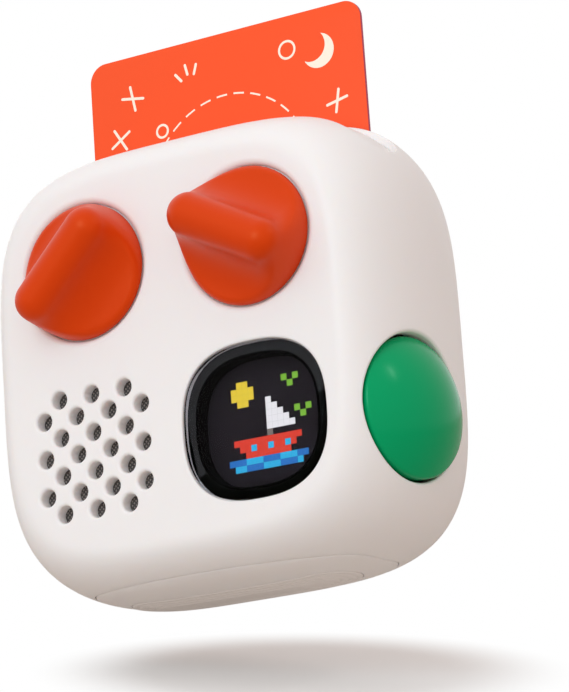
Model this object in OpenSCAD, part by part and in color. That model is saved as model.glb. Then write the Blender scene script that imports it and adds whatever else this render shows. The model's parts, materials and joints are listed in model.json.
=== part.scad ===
// Audio story player: a squircle body with two knobs, a pixel display, a speaker grille,
// a domed play button on the right side and a slot on top that takes a story card.
// The origin is the centre of the foot's lower face, with the front towards -Y.

/* [Body] */
// Width of the body
body_w = 76.2; // [72:0.1:84]
// Height of the body without its foot
body_h = 76.7; // [72:0.1:84]
// Depth of the body, front face to back face
body_d = 38; // [36:0.5:44]
// How far the front and back faces draw in from the widest outline
edge_run = 7.7; // [5:0.1:9]
// Exponent of the outline, where 2 is an ellipse
squareness = 4; // [3.5:0.1:5]
// Wall of the main shell
wall = 2.4; // [2:0.1:2.8]
// How far the foot stands out below the body
foot_rise = 0.1; // [0.1:0.1:0.6]

/* [Knobs] */
// Diameter of a knob
knob_d = 22.6; // [20:0.1:24]
// Distance of each knob's axis from the side of the body
knob_side = 22.5; // [21.1:0.1:24.1]
// Height of the knobs' axes above the middle of the body
knob_z = 15.6; // [14:0.1:17]
// Thickness of a knob's disc at its rim
knob_disc = 1.6; // [1.4:0.1:2.2]
// Height of the finger bar above the disc
bar_rise = 8.8; // [6:0.1:10]
// Width of the finger bar
bar_w = 7.3; // [6:0.1:8]
// Length of the finger bar
bar_l = 21.6; // [17:0.1:21.8]
// Angle of the left knob's bar
left_bar_angle = 44.5; // [-90:0.5:90]
// Angle of the right knob's bar
right_bar_angle = -28; // [-90:0.5:90]
// Depth of the shallow dish behind each knob
dish_depth = 1; // [0.4:0.1:1]

/* [Display] */
// Width of the window
window_w = 26.1; // [22:0.1:27]
// Height of the window
window_h = 25; // [22:0.1:26]
// Exponent of the window's outline
window_squareness = 2.6; // [2:0.1:5]
// Distance of the window's middle from the side of the body
window_side = 23.2; // [22.1:0.1:24.1]
// Distance of the window's middle below the body's middle
window_drop = 14.2; // [13.5:0.1:15]
// Thickness of the window
window_t = 1.5; // [1:0.1:1.6]
// Depth of the screen behind the front face
screen_depth = 4.2; // [3.6:0.1:5]

/* [Speaker] */
// Diameter of one grille hole
hole_d = 2.9; // [2:0.1:3.4]
// Distance between grille holes in a row
hole_pitch = 6.3; // [5.6:0.1:6.6]
// Distance of the speaker's axis from the side of the body
speaker_side = 22.7; // [22.1:0.1:23.1]
// Distance of the speaker's axis below the body's middle
speaker_drop = 14.3; // [13.8:0.1:15]
// Diameter of the speaker's frame
speaker_d = 24; // [22:0.5:24]
// Depth of the speaker from its flange to the back of its magnet
speaker_depth = 10; // [8:0.5:11]

/* [Play button] */
// Diameter of the button cap
button_d = 23.4; // [20:0.1:23.6]
// Height of the cap's dome above its rim
button_dome = 4; // [2:0.1:5]
// Turn of the button's axis towards the front
button_tilt = 12; // [8:0.5:14]
// How far the middle of the cap's rim lies inside the side of the body
button_in = 1.7; // [1.5:0.1:3.1]
// Distance of the button's axis in front of the body's middle
button_y = 5.8; // [5:0.1:6.5]
// Distance of the button's axis below the body's middle
button_drop = 13.8; // [13.4:0.1:15]
// Gap around the cap
button_gap = 0.4; // [0.2:0.05:0.6]
// Travel of the button
button_travel = 1.2; // [0.6:0.1:1.4]

/* [Card] */
// Width of a story card
card_w = 54; // [50:0.1:54.6]
// Length of a story card
card_l = 85.6; // [80:0.1:88]
// Thickness of a story card
card_t = 0.76; // [0.6:0.02:1]
// Corner radius of a story card
card_r = 3.2; // [2:0.1:5]
// Distance of the card behind the middle of the body
card_y = 4.1; // [3.9:0.1:4.3]
// Height of the card's top edge above the middle of the body
card_top = 58.9; // [56:0.1:60]
// Free space around the card in its guide
card_gap = 0.4; // [0.3:0.05:0.6]

/* [Slot trim] */
// Length of the trough around the slot
trough_l = 69; // [64:0.5:70]
// Width of the trough
trough_w = 17.6; // [16:0.2:18.4]
// Depth of the trough
trough_depth = 1.1; // [0.6:0.1:1.4]

/* [Base] */
// Length of the base cover
base_l = 52; // [48:0.5:54]
// Width of the base cover
base_w = 27.6; // [26:0.2:30]
// Exponent of the base cover's outline
base_squareness = 2.9; // [2:0.1:4]
// Length of the foot pad
foot_l = 42; // [36:0.5:44]
// Width of the foot pad
foot_w = 12; // [8:0.5:14]

/* [Rear] */
// Width and height of the rear cover
rear_w = 59; // [57.6:0.2:59.6]
// Thickness of the rear cover
rear_t = 2.1; // [1.8:0.1:2.4]
// Diameter of the power button
power_d = 7; // [5:0.1:8]
// Travel of the power button
power_travel = 0.5; // [0.3:0.1:0.8]
// Bore of the headphone jack
jack_d = 3.6; // [3.5:0.05:3.8]

/* [Electronics] */
// Thickness of every circuit board
board_t = 1.2; // [0.8:0.1:1.6]
// Length of the battery
battery_l = 44; // [36:1:46]
// Height of the battery
battery_h = 24; // [18:1:25]
// Thickness of the battery
battery_t = 5.6; // [4:0.2:6]
// Diameter of an encoder's shaft
shaft_d = 4; // [3:0.1:4.4]

/* [Hidden] */

// small clearance between pieces that seat on each other or slide
fit = 0.15;
// running clearance of a shaft or stem, on the radius
run_gap = 0.05;
// facets that stay true circles
fine = 64;

half_w = body_w / 2;
half_h = body_h / 2;
half_d = body_d / 2;
mid_z = foot_rise + half_h;
front_y = -half_d;
inner_front_y = front_y + wall;
knob_x = half_w - knob_side;
window_x = half_w - window_side;
speaker_x = half_w - speaker_side;
button_x = half_w - button_in;

// rear cover and the ledge that it seats on
rear_face_y = half_d - 0.1;
ledge_y = rear_face_y - rear_t;
ledge_t = 1.6;
ledge_w = 0.8;
cavity_back_y = ledge_y - ledge_t;

// card guide
card_bottom = card_top - card_l;
guide_slot = card_t + 2 * card_gap + 0.2;
guide_wall = 1.2;
guide_front_y = card_y - guide_slot / 2 - guide_wall;
guide_back_y = card_y + guide_slot / 2 + guide_wall;
guide_half = card_w / 2 + card_gap + guide_wall;
guide_top = half_h - wall - trough_depth - 7.6;
throat_top = guide_top + 4;
throat_half = 19;
guide_floor = card_bottom - 0.05;

// chassis plate, seated on posts of the shell
chassis_t = 2;
guide_stand = 1.6;
chassis_y = guide_front_y - guide_stand - chassis_t;
post_d = 5;
screw_d = 2;
head_d = 3.8;
head_t = 1.3;
chassis_half = guide_half + 0.4;
side_post_x = chassis_half - 2.5;
side_post_z = 1.5;
upper_post_z = 27;
lower_post_z = -27.5;
chassis_posts = [[-side_post_x, side_post_z], [side_post_x, side_post_z],
  [0, upper_post_z], [0, lower_post_z]];
frame_half = 22;
frame_rim = 3;
guide_post_x = 20;
guide_post_z = 22;
guide_posts = [[-guide_post_x, guide_post_z], [guide_post_x, guide_post_z],
  [-guide_post_x, -guide_post_z], [guide_post_x / 2, -guide_post_z]];

// encoders and the board that carries them
encoder_w = 12;
encoder_h = 13;
encoder_t = 6.5;
bush_d = 7;
encoder_back_y = inner_front_y + encoder_t;
dish_y = front_y + dish_depth;
nut_t = 1.4;
washer_t = 0.3;
knob_back_y = dish_y - 0.3;
knob_face_y = knob_back_y - knob_disc;
nut_room = washer_t + nut_t + 0.2;
shaft_tip_y = knob_face_y - 3.2;
control_half = knob_x + encoder_w / 2 + 2.6;
control_bottom = knob_z - encoder_h / 2 - 3.1;
control_top = upper_post_z - post_d / 2 - 0.2;
control_back_y = encoder_back_y + board_t;

// display stack
frame_wall = 0.8;
ledge_in = 1.6;
screen_y = front_y + screen_depth;
panel_t = 2;
panel_w = window_w / 2 - ledge_in + 0.3;
panel_h = window_h / 2 - ledge_in + 0.3;
ribbon_x = window_x - 0.9;
ribbon_w = 8;
ribbon_t = 0.2;
ribbon_top = control_bottom + 7;

// play button's stem, its switch and the board behind the switch
stem_d = 5;
stem_tip = -7.3;
switch_t = 2.9;
plunger = 0.7;
holder_d = 16;
button_board_z = stem_tip - button_travel - 0.1 - plunger - switch_t;
ear_x = button_x - 13.3;
ear_z = -button_drop + holder_d / 2 - 1.1;

// speaker stack
cloth_t = 0.3;
gasket_t = 0.8;
flange_t = 1.2;
cloth_y = inner_front_y;
gasket_y = cloth_y + cloth_t;
flange_y = gasket_y + gasket_t;
magnet_d = 14;
magnet_t = 4;
speaker_back_y = flange_y + speaker_depth;

// rear electronics
reader_t = 0.8;
coil_t = 0.12;
pad_t = 0.5;
board_stand = 2;
board_y = guide_back_y + board_stand;
board_back_y = board_y + board_t;
battery_y = guide_back_y + reader_t + coil_t + pad_t;
battery_z = -28;
battery_plug_x = -18.5;
speaker_plug_x = -7;
lead_end_z = 1;
pad_w = 34;
main_w = 54.8;
main_h = 26.4;
shield_w = 16;
shield_h = 12;
reader_w = 40;
reader_h = 42;
reader_z = -1;
coil_w = 37;
coil_pitch = 1.2;
track_w = 0.6;
port_x = 13;
jack_x = 0;
port_z = 8;
power_x = -14.5;
power_z = 14.5;
board_posts = [for (s = [-1, 1], z = [4, main_h - 2.4]) [s * (main_w / 2 - 2.8), z]];
rear_screws = [for (s = [-1, 1], t = [-1, 1]) [s * (rear_w / 2 - 8.5), t * (rear_w / 2 - 6)]];
base_screw_x = 18;
pad_seat_z = -half_h + 1.15;
foot_crown = 0.15;
lug_z = -half_h + wall + 0.3;
boss_d = 6.4;
boss_l = 3.2;
lug_w = 8;
lug_t = 2.4;

function sign_of(v) = v < 0 ? -1 : 1;
function power(v, e) = sign_of(v) * pow(abs(v), e);
function outline(hw, hh, e, n) =
  [for (i = [0:n - 1]) let (t = 360 * (i + 0.5) / n)
    [hw * power(cos(t), 2 / e), hh * power(sin(t), 2 / e)]];

// the pillow form: the squircle outline drawn in towards both faces along a quarter ellipse
module pillow(inset, y0, y1, n = 64, k = 6) {
  ymid = (y0 + y1) / 2;
  yhalf = (y1 - y0) / 2;
  rings = [for (j = [-k:k])
    let (s = 1 - edge_run * (1 - cos(90 * j / k)) / half_w, y = ymid + yhalf * sin(90 * j / k))
    [for (p = outline(half_w * s - inset, half_h * s - inset, squareness, n)) [p[0], y, p[1]]]];
  last = 2 * k * n;
  sides = [for (j = [0:2 * k - 1]) for (i = [0:n - 1]) let (a = j * n, b = a + n, m = (i + 1) % n)
    each [[a + i, b + m, b + i], [a + i, a + m, b + m]]];
  front = [for (i = [n - 1:-1:0]) i];
  back = [for (i = [0:n - 1]) last + i];
  polyhedron([for (r = rings) each r], concat([front], sides, [back]));
}
module outer_form(inset = 0) {
  pillow(inset, front_y + inset, half_d - inset);
}
module cavity_form(inset = 0) {
  pillow(wall + inset, inner_front_y + inset, cavity_back_y - inset, 48, 5);
}

// frames of reference: the body's middle, a spot on the front facing -Y, and one facing +Y
module at_middle() { translate([0, 0, mid_z]) children(); }
module facing_front(x, y, z) { translate([x, y, z]) rotate([90, 0, 0]) children(); }
module facing_back(x, y, z) { translate([x, y, z]) rotate([-90, 0, 0]) children(); }
module at_button() {
  translate([button_x, -button_y, -button_drop]) rotate([0, 0, -button_tilt]) rotate([0, 90, 0])
    children();
}
module slab(hw, hh, e, n, y, t) {
  facing_front(0, y + t, 0) linear_extrude(t) polygon(outline(hw, hh, e, n));
}
module rod(d, h) { cylinder(d = d, h = h, $fn = fine); }
module tube(od, id, h) {
  difference() {
    rod(od, h);
    translate([0, 0, -1]) rod(id, h + 2);
  }
}
module plate(x0, x1, y, t, z0, z1) { translate([x0, y, z0]) cube([x1 - x0, t, z1 - z0]); }
module stadium(l, w, h) {
  translate([-(l - w) / 2, -w / 2, 0]) cube([l - w, w, h]);
  for (s = [-1, 1]) translate([s * (l - w) / 2, 0, 0]) rod(w, h);
}
module rounded_block(l, w, r, h) {
  translate([-l / 2 + r, -w / 2, 0]) cube([l - 2 * r, w, h]);
  translate([-l / 2, -w / 2 + r, 0]) cube([l, w - 2 * r, h]);
  for (x = [-1, 1], y = [-1, 1]) translate([x * (l / 2 - r), y * (w / 2 - r), 0]) rod(2 * r, h);
}
module screw(d, l) {
  rod(d, l);
  difference() {
    translate([0, 0, -head_t]) rod(head_d, head_t);
    translate([0, 0, -head_t - 0.1]) cylinder(d = 1.7, h = 0.9, $fn = 6);
  }
}

// a wire swept along a route, with its ends square to it
function unit(v) = v / norm(v);
function tangent(p, i) = unit(p[min(i + 1, len(p) - 1)] - p[max(i - 1, 0)]);
module wire(route, d, sides = 8) {
  rings = [for (i = [0:len(route) - 1])
    let (t = tangent(route, i), u = unit(cross(t, [0.31, 0.17, 0.93])), v = cross(t, u))
    [for (k = [0:sides - 1]) let (a = 360 * k / sides) route[i] + d / 2 * (cos(a) * u + sin(a) * v)]];
  last = (len(route) - 1) * sides;
  walls = [for (j = [0:len(route) - 2]) for (k = [0:sides - 1])
    let (a = j * sides, b = a + sides, m = (k + 1) % sides)
    each [[a + k, b + k, b + m], [a + k, b + m, a + m]]];
  polyhedron([for (r = rings) each r],
    concat([[for (k = [0:sides - 1]) k]], walls, [[for (k = [sides - 1:-1:0]) last + k]]));
}
function helix(r, h, turns, steps) =
  [for (i = [0:turns * steps]) let (a = 360 * i / steps) [r * cos(a), r * sin(a), h * i / (turns * steps)]];

// grille holes: rows of three and four, each row half a pitch lower than the last
function grille_spots() =
  [for (row = [0:6]) for (i = [0:(row % 2 == 0 ? 2 : 3)])
    [(i - (row % 2 == 0 ? 1 : 1.5)) * hole_pitch, (3 - row) * hole_pitch / 2]];

module base_outline(gap) {
  linear_extrude(8) polygon(outline(base_l / 2 - gap, base_w / 2 - gap, base_squareness, 48));
}
module lugs(gap) {
  for (s = [-1, 1]) translate([s * 23.5 - 8.5 - gap, -lug_w / 2 - gap, lug_z - gap])
    cube([17 + 2 * gap, lug_w + 2 * gap, lug_t + 2 * gap]);
}
module trough_block(gap) { rounded_block(trough_l - 2 * gap, trough_w - 2 * gap, 4.5, 30); }
module trough_flange() { rounded_block(trough_l - 3, trough_w + 4, 4.5, 30); }

module main_shell() {
  color([0.96, 0.94, 0.92]) at_middle() difference() {
    outer_form();
    // the hollow, less the posts, lugs and bosses that stand in it
    difference() {
      cavity_form();
      for (p = chassis_posts) facing_front(p[0], chassis_y, p[1]) rod(post_d, 20);
      lugs(0);
      for (p = rear_screws) facing_front(p[0], ledge_y, p[1]) rod(boss_d, boss_l);
    }
    // opening and seat of the rear cover
    slab(rear_w / 2 + fit, rear_w / 2 + fit, squareness, 48, ledge_y, 6);
    difference() {
      slab(rear_w / 2 - ledge_w, rear_w / 2 - ledge_w, squareness, 48, ledge_y - 4.5, 4.6);
      for (p = rear_screws) facing_front(p[0], ledge_y, p[1]) rod(boss_d, 9);
    }
    for (p = rear_screws) facing_front(p[0], ledge_y + 0.1, p[1]) rod(screw_d, 3);
    // openings of the base cover and the slot trim
    difference() {
      translate([0, 0, -half_h - 4]) base_outline(0);
      lugs(0);
    }
    translate([0, 0, 18]) trough_block(0);
    // holes of the base and chassis screws
    for (s = [-1, 1]) translate([s * base_screw_x, 0, -half_h]) rod(screw_d, 4.8);
    for (p = chassis_posts) facing_front(p[0], chassis_y + 0.1, p[1]) rod(screw_d, 8.1);
    // knobs: a shallow dish, and the hole that the encoder's bush passes
    for (s = [-1, 1]) {
      facing_front(s * knob_x, dish_y, knob_z)
        cylinder(r1 = knob_d / 2 + 0.5, r2 = knob_d / 2 + 3.3, h = 1.6, $fn = fine);
      facing_front(s * knob_x, inner_front_y + 1, knob_z) rod(bush_d + 2 * fit, wall + 2);
    }
    // display window, its seat and the opening behind it
    translate([window_x, 0, -window_drop]) {
      slab(window_w / 2 + fit, window_h / 2 + fit, window_squareness, 48, front_y - 1, window_t + 1);
      slab(window_w / 2 - ledge_in, window_h / 2 - ledge_in, window_squareness, 48, front_y, wall + 1);
    }
    // grille
    for (p = grille_spots()) facing_front(p[0] - speaker_x, inner_front_y + 1, p[1] - speaker_drop)
      cylinder(d = hole_d, h = wall + 2, $fn = 32);
    // play button
    at_button() translate([0, 0, -7]) rod(button_d + 2 * button_gap, 14);
  }
}

module rear_cover() {
  color([0.93, 0.91, 0.89]) at_middle() difference() {
    union() {
      slab(rear_w / 2, rear_w / 2, squareness, 48, ledge_y, rear_t);
      facing_back(power_x, ledge_y - 2.2, power_z) tube(power_d + 4, power_d + 0.6, 2.2 + rear_t / 2);
    }
    for (p = rear_screws) {
      facing_back(p[0], ledge_y - 1, p[1]) rod(screw_d + 0.4, rear_t + 2);
      facing_back(p[0], ledge_y + 0.8, p[1]) rod(head_d + 0.4, rear_t);
    }
    facing_back(power_x, ledge_y - 4, power_z) rod(power_d + 0.6, rear_t + 6);
    facing_back(jack_x, ledge_y - 1, port_z) rod(7.4, rear_t + 2);
    facing_back(port_x, ledge_y - 1, port_z) stadium(9.8, 4, rear_t + 2);
  }
}
module rear_cover_screws() {
  color("dimgray") at_middle() for (p = rear_screws)
    facing_front(p[0], ledge_y + 0.8, p[1]) screw(screw_d - 0.1, 3.6);
}

module base_cover() {
  color([0.95, 0.93, 0.91]) at_middle() difference() {
    intersection() {
      outer_form();
      translate([0, 0, -half_h - 4]) base_outline(fit);
    }
    cavity_form();
    lugs(fit);
    translate([0, 0, pad_seat_z - 4]) stadium(foot_l + 2 * fit, foot_w + 2 * fit, 4);
    for (s = [-1, 1]) translate([s * base_screw_x, 0, pad_seat_z - 1]) {
      rod(screw_d + 0.4, 9);
      rod(head_d + 0.2, 1.8);
    }
  }
}
module base_screws() {
  color("dimgray") at_middle() for (s = [-1, 1])
    translate([s * base_screw_x, 0, pad_seat_z + 0.05]) {
      rod(head_d, 0.7);
      rod(screw_d - 0.1, 3.4);
    }
}
module foot_pad() {
  color([0.9, 0.88, 0.86]) at_middle() intersection() {
    translate([0, 0, -half_h - foot_rise]) stadium(foot_l, foot_w, foot_rise + half_h + pad_seat_z);
    outer_form(-foot_rise - foot_crown);
  }
}

module slot_trim() {
  color([0.94, 0.92, 0.9]) at_middle() difference() {
    union() {
      intersection() {
        outer_form(trough_depth);
        translate([0, 0, 18]) trough_block(fit);
      }
      intersection() {
        cavity_form(0.08);
        translate([0, 0, 18]) trough_flange();
      }
    }
    cavity_form(1.1);
    translate([0, card_y, 20]) rounded_block(card_w + 2 * card_gap + 0.4, guide_slot, 0.6, 30);
  }
}

module card_guide() {
  inner_half = card_w / 2 + card_gap;
  depth = guide_back_y - guide_front_y;
  color([0.85, 0.85, 0.83]) at_middle() difference() {
    union() {
      plate(-guide_half, guide_half, guide_front_y, depth, guide_floor - 1.6, guide_top);
      plate(-throat_half, throat_half, guide_front_y, depth, guide_top - 1, throat_top);
      for (p = guide_posts) facing_front(p[0], guide_front_y + 0.1, p[1]) rod(4.4, guide_stand + 0.1);
      for (p = board_posts) facing_back(p[0], guide_back_y - 0.1, p[1]) rod(5, board_stand + 0.1);
    }
    plate(-inner_half, inner_half, guide_front_y + guide_wall, guide_slot, guide_floor, throat_top + 1);
    // thumb relief and the window over the stop switch
    plate(-12, 12, guide_front_y - 3, guide_wall + 3.1, 12, throat_top - 4);
    plate(14, 20, guide_front_y - 3, guide_wall + 3.1, guide_floor + 1, guide_floor + 5);
    for (p = board_posts) facing_back(p[0], guide_back_y - 0.5, p[1]) rod(screw_d, 3);
  }
}
module card_stop_switch() {
  color([0.15, 0.15, 0.16]) at_middle() {
    plate(14.2, 19.8, guide_front_y - 1.5, 1.5 + guide_wall, guide_floor + 1.2, guide_floor + 4.8);
    plate(16.4, 17.6, guide_front_y + guide_wall - 0.2, 0.5, guide_floor + 2, guide_floor + 4);
  }
}
module story_card() {
  color([0.99, 0.36, 0.21]) at_middle()
    translate([0, card_y + card_t / 2, (card_top + card_bottom) / 2]) rotate([90, 0, 0])
      rounded_block(card_w, card_l, card_r, card_t);
}
module reader_board() {
  color([0.1, 0.42, 0.3]) at_middle() plate(-reader_w / 2, reader_w / 2, guide_back_y, reader_t,
    reader_z - reader_h / 2, reader_z + reader_h / 2);
}
module reader_coil() {
  y = guide_back_y + reader_t;
  color([0.85, 0.55, 0.3]) at_middle() for (k = [0:3]) {
    r = coil_w / 2 - coil_pitch * k;
    q = r - track_w;
    difference() {
      plate(-r, r, y, coil_t, reader_z - r, reader_z + r);
      plate(-q, q, y - 1, coil_t + 2, reader_z - q, reader_z + q);
    }
  }
}

module chassis() {
  y = chassis_y;
  t = chassis_t;
  top = upper_post_z + frame_rim;
  bottom = lower_post_z - frame_rim;
  middle = side_post_z;
  color([0.82, 0.82, 0.8]) at_middle() difference() {
    union() {
      plate(-chassis_half, chassis_half, y, t, middle - frame_rim, middle + frame_rim);
      plate(ear_x - 2.6, max(chassis_half, ear_x + 6.4), y, t, ear_z + 1.2, middle);
      plate(-frame_half, frame_half, y, t, middle, top);
      plate(-frame_half, frame_half - 10, y, t, bottom, middle);
    }
    // windows behind the control board and behind the speaker
    plate(2 - frame_half / 2, frame_half / 2 - 2, y - 1, t + 2, middle + 4.5, top - 9);
    plate(4 - frame_half, -4, y - 1, t + 2, bottom + 9.5, middle - 6.5);
    for (p = chassis_posts) facing_back(p[0], y - 1, p[1]) rod(screw_d + 0.4, t + 2);
  }
}
module chassis_screws() {
  color("silver") at_middle() for (p = chassis_posts)
    facing_front(p[0], chassis_y + chassis_t, p[1]) screw(screw_d - 0.1, 7.6);
}

module display_window() {
  color([0.02, 0.02, 0.03]) at_middle() translate([window_x, 0, -window_drop])
    slab(window_w / 2, window_h / 2, window_squareness, 64, front_y - 0.1, window_t);
}
module window_seal() {
  color([0.1, 0.1, 0.1]) at_middle() translate([window_x, 0, -window_drop]) difference() {
    slab(window_w / 2 - 0.1, window_h / 2 - 0.1, window_squareness, 48, front_y + window_t - 0.1, 0.1);
    slab(window_w / 2 - ledge_in, window_h / 2 - ledge_in, window_squareness, 48, front_y, 4);
  }
}
module display_frame() {
  depth = screen_y - inner_front_y;
  color([0.05, 0.05, 0.06]) at_middle() translate([window_x, 0, -window_drop]) difference() {
    slab(window_w / 2 - ledge_in + frame_wall, window_h / 2 - ledge_in + frame_wall, window_squareness, 48,
      inner_front_y + 0.3, depth - 0.3 + panel_t);
    slab(window_w / 2 - ledge_in, window_h / 2 - ledge_in, window_squareness, 48,
      inner_front_y - 1, depth + 1.1);
    slab(panel_w + 0.1, panel_h + 0.1, window_squareness, 48, screen_y, panel_t + 1);
  }
}
module display_panel() {
  color([0.16, 0.15, 0.17]) at_middle() translate([window_x, 0, -window_drop])
    slab(panel_w, panel_h, window_squareness, 48, screen_y + 0.02, panel_t + 0.4);
}
module display_ribbon() {
  x0 = ribbon_x - ribbon_w / 2;
  x1 = ribbon_x + ribbon_w / 2;
  y = screen_y + panel_t + 0.42;
  bend_z = control_bottom - 0.6;
  color([0.75, 0.5, 0.15]) at_middle() {
    plate(x0, x1, y, ribbon_t, -window_drop + panel_h - 5, bend_z + ribbon_t);
    plate(x0, x1, y, control_back_y - y + ribbon_t, bend_z, bend_z + ribbon_t);
    plate(x0, x1, control_back_y, ribbon_t, bend_z, ribbon_top);
  }
}

module grille_cloth() {
  color([0.24, 0.24, 0.25]) at_middle() facing_front(-speaker_x, gasket_y, -speaker_drop)
    rod(speaker_d, cloth_t);
}
module speaker_gasket() {
  color([0.12, 0.12, 0.12]) at_middle() facing_front(-speaker_x, flange_y, -speaker_drop)
    tube(speaker_d, speaker_d - 3, gasket_t);
}
module speaker_frame() {
  r = speaker_d / 2;
  back = speaker_depth - magnet_t;
  color([0.3, 0.3, 0.32]) at_middle() facing_front(-speaker_x, flange_y + back, -speaker_drop)
    rotate_extrude($fn = fine) polygon([
      [4.4, 0], [magnet_d / 2 + 1, 0], [r - 2, back - flange_t], [r, back - flange_t], [r, back],
      [r - 1.2, back], [r - 2.6, back - flange_t - 0.4], [magnet_d / 2, 1], [4.4, 1]
    ]);
}
module speaker_cone() {
  r = speaker_d / 2;
  color([0.2, 0.2, 0.21]) at_middle() facing_front(-speaker_x, flange_y + 4.4, -speaker_drop)
    rotate_extrude($fn = fine) polygon([
      [3.4, -0.4], [3.9, -0.4], [3.9, 0.2], [r - 3.6, 3.6], [r - 3, 4.1], [r - 2.2, 3.5],
      [r - 2.2, 3.8], [r - 3, 4.4], [r - 3.8, 3.9], [3.4, 0.7]
    ]);
}
module speaker_cap() {
  color([0.14, 0.14, 0.15]) at_middle() facing_front(-speaker_x, flange_y + 3.6, -speaker_drop)
    intersection() {
      translate([0, 0, -6]) sphere(r = 7.2, $fn = fine);
      rod(6.8, 2);
    }
}
module speaker_magnet() {
  color([0.45, 0.45, 0.47]) at_middle() facing_front(-speaker_x, speaker_back_y, -speaker_drop) {
    rod(magnet_d, magnet_t - 0.02);
    rod(6, magnet_t + 1.2);
  }
}
module speaker_leads() {
  y = control_back_y + 0.9;
  color([0.75, 0.12, 0.1]) at_middle() for (s = [-1, 1]) let (x = speaker_plug_x + s * 0.8) wire([
    [x, flange_y + 4.6, -6.4], [x, flange_y + 6, -5.6], [x, y - 0.3, -3],
    [x, y, 2], [x, y, control_bottom + 1.5]
  ], 0.9);
}

// knob: disc with a rounded rim, a finger bar across it, and a hub that grips the shaft
module flare_step(w0, w1, z0, z1, span) {
  for (s = [-1, 1]) translate([s * span / 2, 0, z0]) cylinder(r1 = w0, r2 = w1, h = z1 - z0, $fn = fine);
  translate([-span / 2, 0, z0]) rotate([90, 0, 90]) linear_extrude(span)
    polygon([[-w0 + 0.03, 0], [w0 - 0.03, 0], [w1 - 0.03, z1 - z0], [-w1 + 0.03, z1 - z0]]);
}
module knob(angle) {
  edge = 0.7;
  r = knob_d / 2;
  top = bar_rise - bar_w / 2;
  span = bar_l - bar_w;
  flare = [[bar_w / 2 + 5.2, -0.5], [bar_w / 2 + 2.6, 1.4], [bar_w / 2 + 1.1, 3.2], [bar_w / 2 + 0.12, top - 0.4]];
  difference() {
    union() {
      rod(knob_d - 2 * edge, knob_disc);
      rod(knob_d, knob_disc - edge);
      translate([0, 0, knob_disc - edge]) rotate_extrude($fn = fine) translate([r - edge, 0])
        circle(r = edge, $fn = 32);
      // the bar's foot flares out over the disc
      intersection() {
        rod(knob_d - 0.9, knob_disc + bar_rise);
        rotate([0, 0, angle]) for (i = [0:len(flare) - 2])
          flare_step(flare[i][0], flare[i + 1][0], knob_disc + flare[i][1] - 0.05,
            knob_disc + flare[i + 1][1], span);
      }
      rotate([0, 0, angle]) translate([0, 0, knob_disc - 0.1]) {
        translate([-span / 2, -bar_w / 2, 0]) cube([span, bar_w, top + 0.1]);
        for (s = [-1, 1]) translate([s * span / 2, 0, 0]) {
          rod(bar_w, top + 0.1);
          translate([0, 0, top + 0.1]) sphere(d = bar_w, $fn = fine);
        }
        translate([-span / 2, 0, top + 0.1]) rotate([0, 90, 0]) rod(bar_w, span);
      }
    }
    // room for the nut, and the shaft's bore
    translate([0, 0, -0.1]) rod(13, nut_room + 0.1);
    rod(shaft_d + 2 * run_gap, knob_back_y - shaft_tip_y + 0.2);
  }
}
module left_knob() {
  color([0.84, 0.27, 0.09]) at_middle() facing_front(-knob_x, knob_back_y, knob_z) knob(left_bar_angle);
}
module right_knob() {
  color([0.84, 0.27, 0.09]) at_middle() facing_front(knob_x, knob_back_y, knob_z) knob(right_bar_angle);
}
module encoder(x) {
  facing_front(x, encoder_back_y, knob_z) difference() {
    union() {
      translate([-encoder_w / 2, -encoder_h / 2, 0]) cube([encoder_w, encoder_h, encoder_t]);
      rod(bush_d, encoder_t + wall - dish_depth + washer_t + nut_t);
    }
    translate([0, 0, 1]) rod(shaft_d + 2 * run_gap, encoder_t + 8);
  }
}
module left_encoder() { color([0.55, 0.56, 0.58]) at_middle() encoder(-knob_x); }
module right_encoder() { color([0.55, 0.56, 0.58]) at_middle() encoder(knob_x); }
module shaft(x) {
  facing_front(x, encoder_back_y - 1.1, knob_z) rod(shaft_d, encoder_back_y - 1.1 - shaft_tip_y);
}
module left_shaft() { color("silver") at_middle() shaft(-knob_x); }
module right_shaft() { color("silver") at_middle() shaft(knob_x); }
module encoder_washers() {
  color("silver") at_middle() for (s = [-1, 1])
    facing_front(s * knob_x, dish_y, knob_z) tube(10.6, bush_d + 0.1, washer_t);
}
module encoder_nuts() {
  color([0.6, 0.6, 0.62]) at_middle() for (s = [-1, 1])
    facing_front(s * knob_x, dish_y - washer_t, knob_z) difference() {
      cylinder(d = 11, h = nut_t, $fn = 6);
      translate([0, 0, -1]) rod(bush_d + 0.1, nut_t + 2);
    }
}
module control_board() {
  color([0.1, 0.42, 0.3]) at_middle()
    plate(-control_half, control_half, encoder_back_y, board_t, control_bottom, control_top);
}

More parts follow.
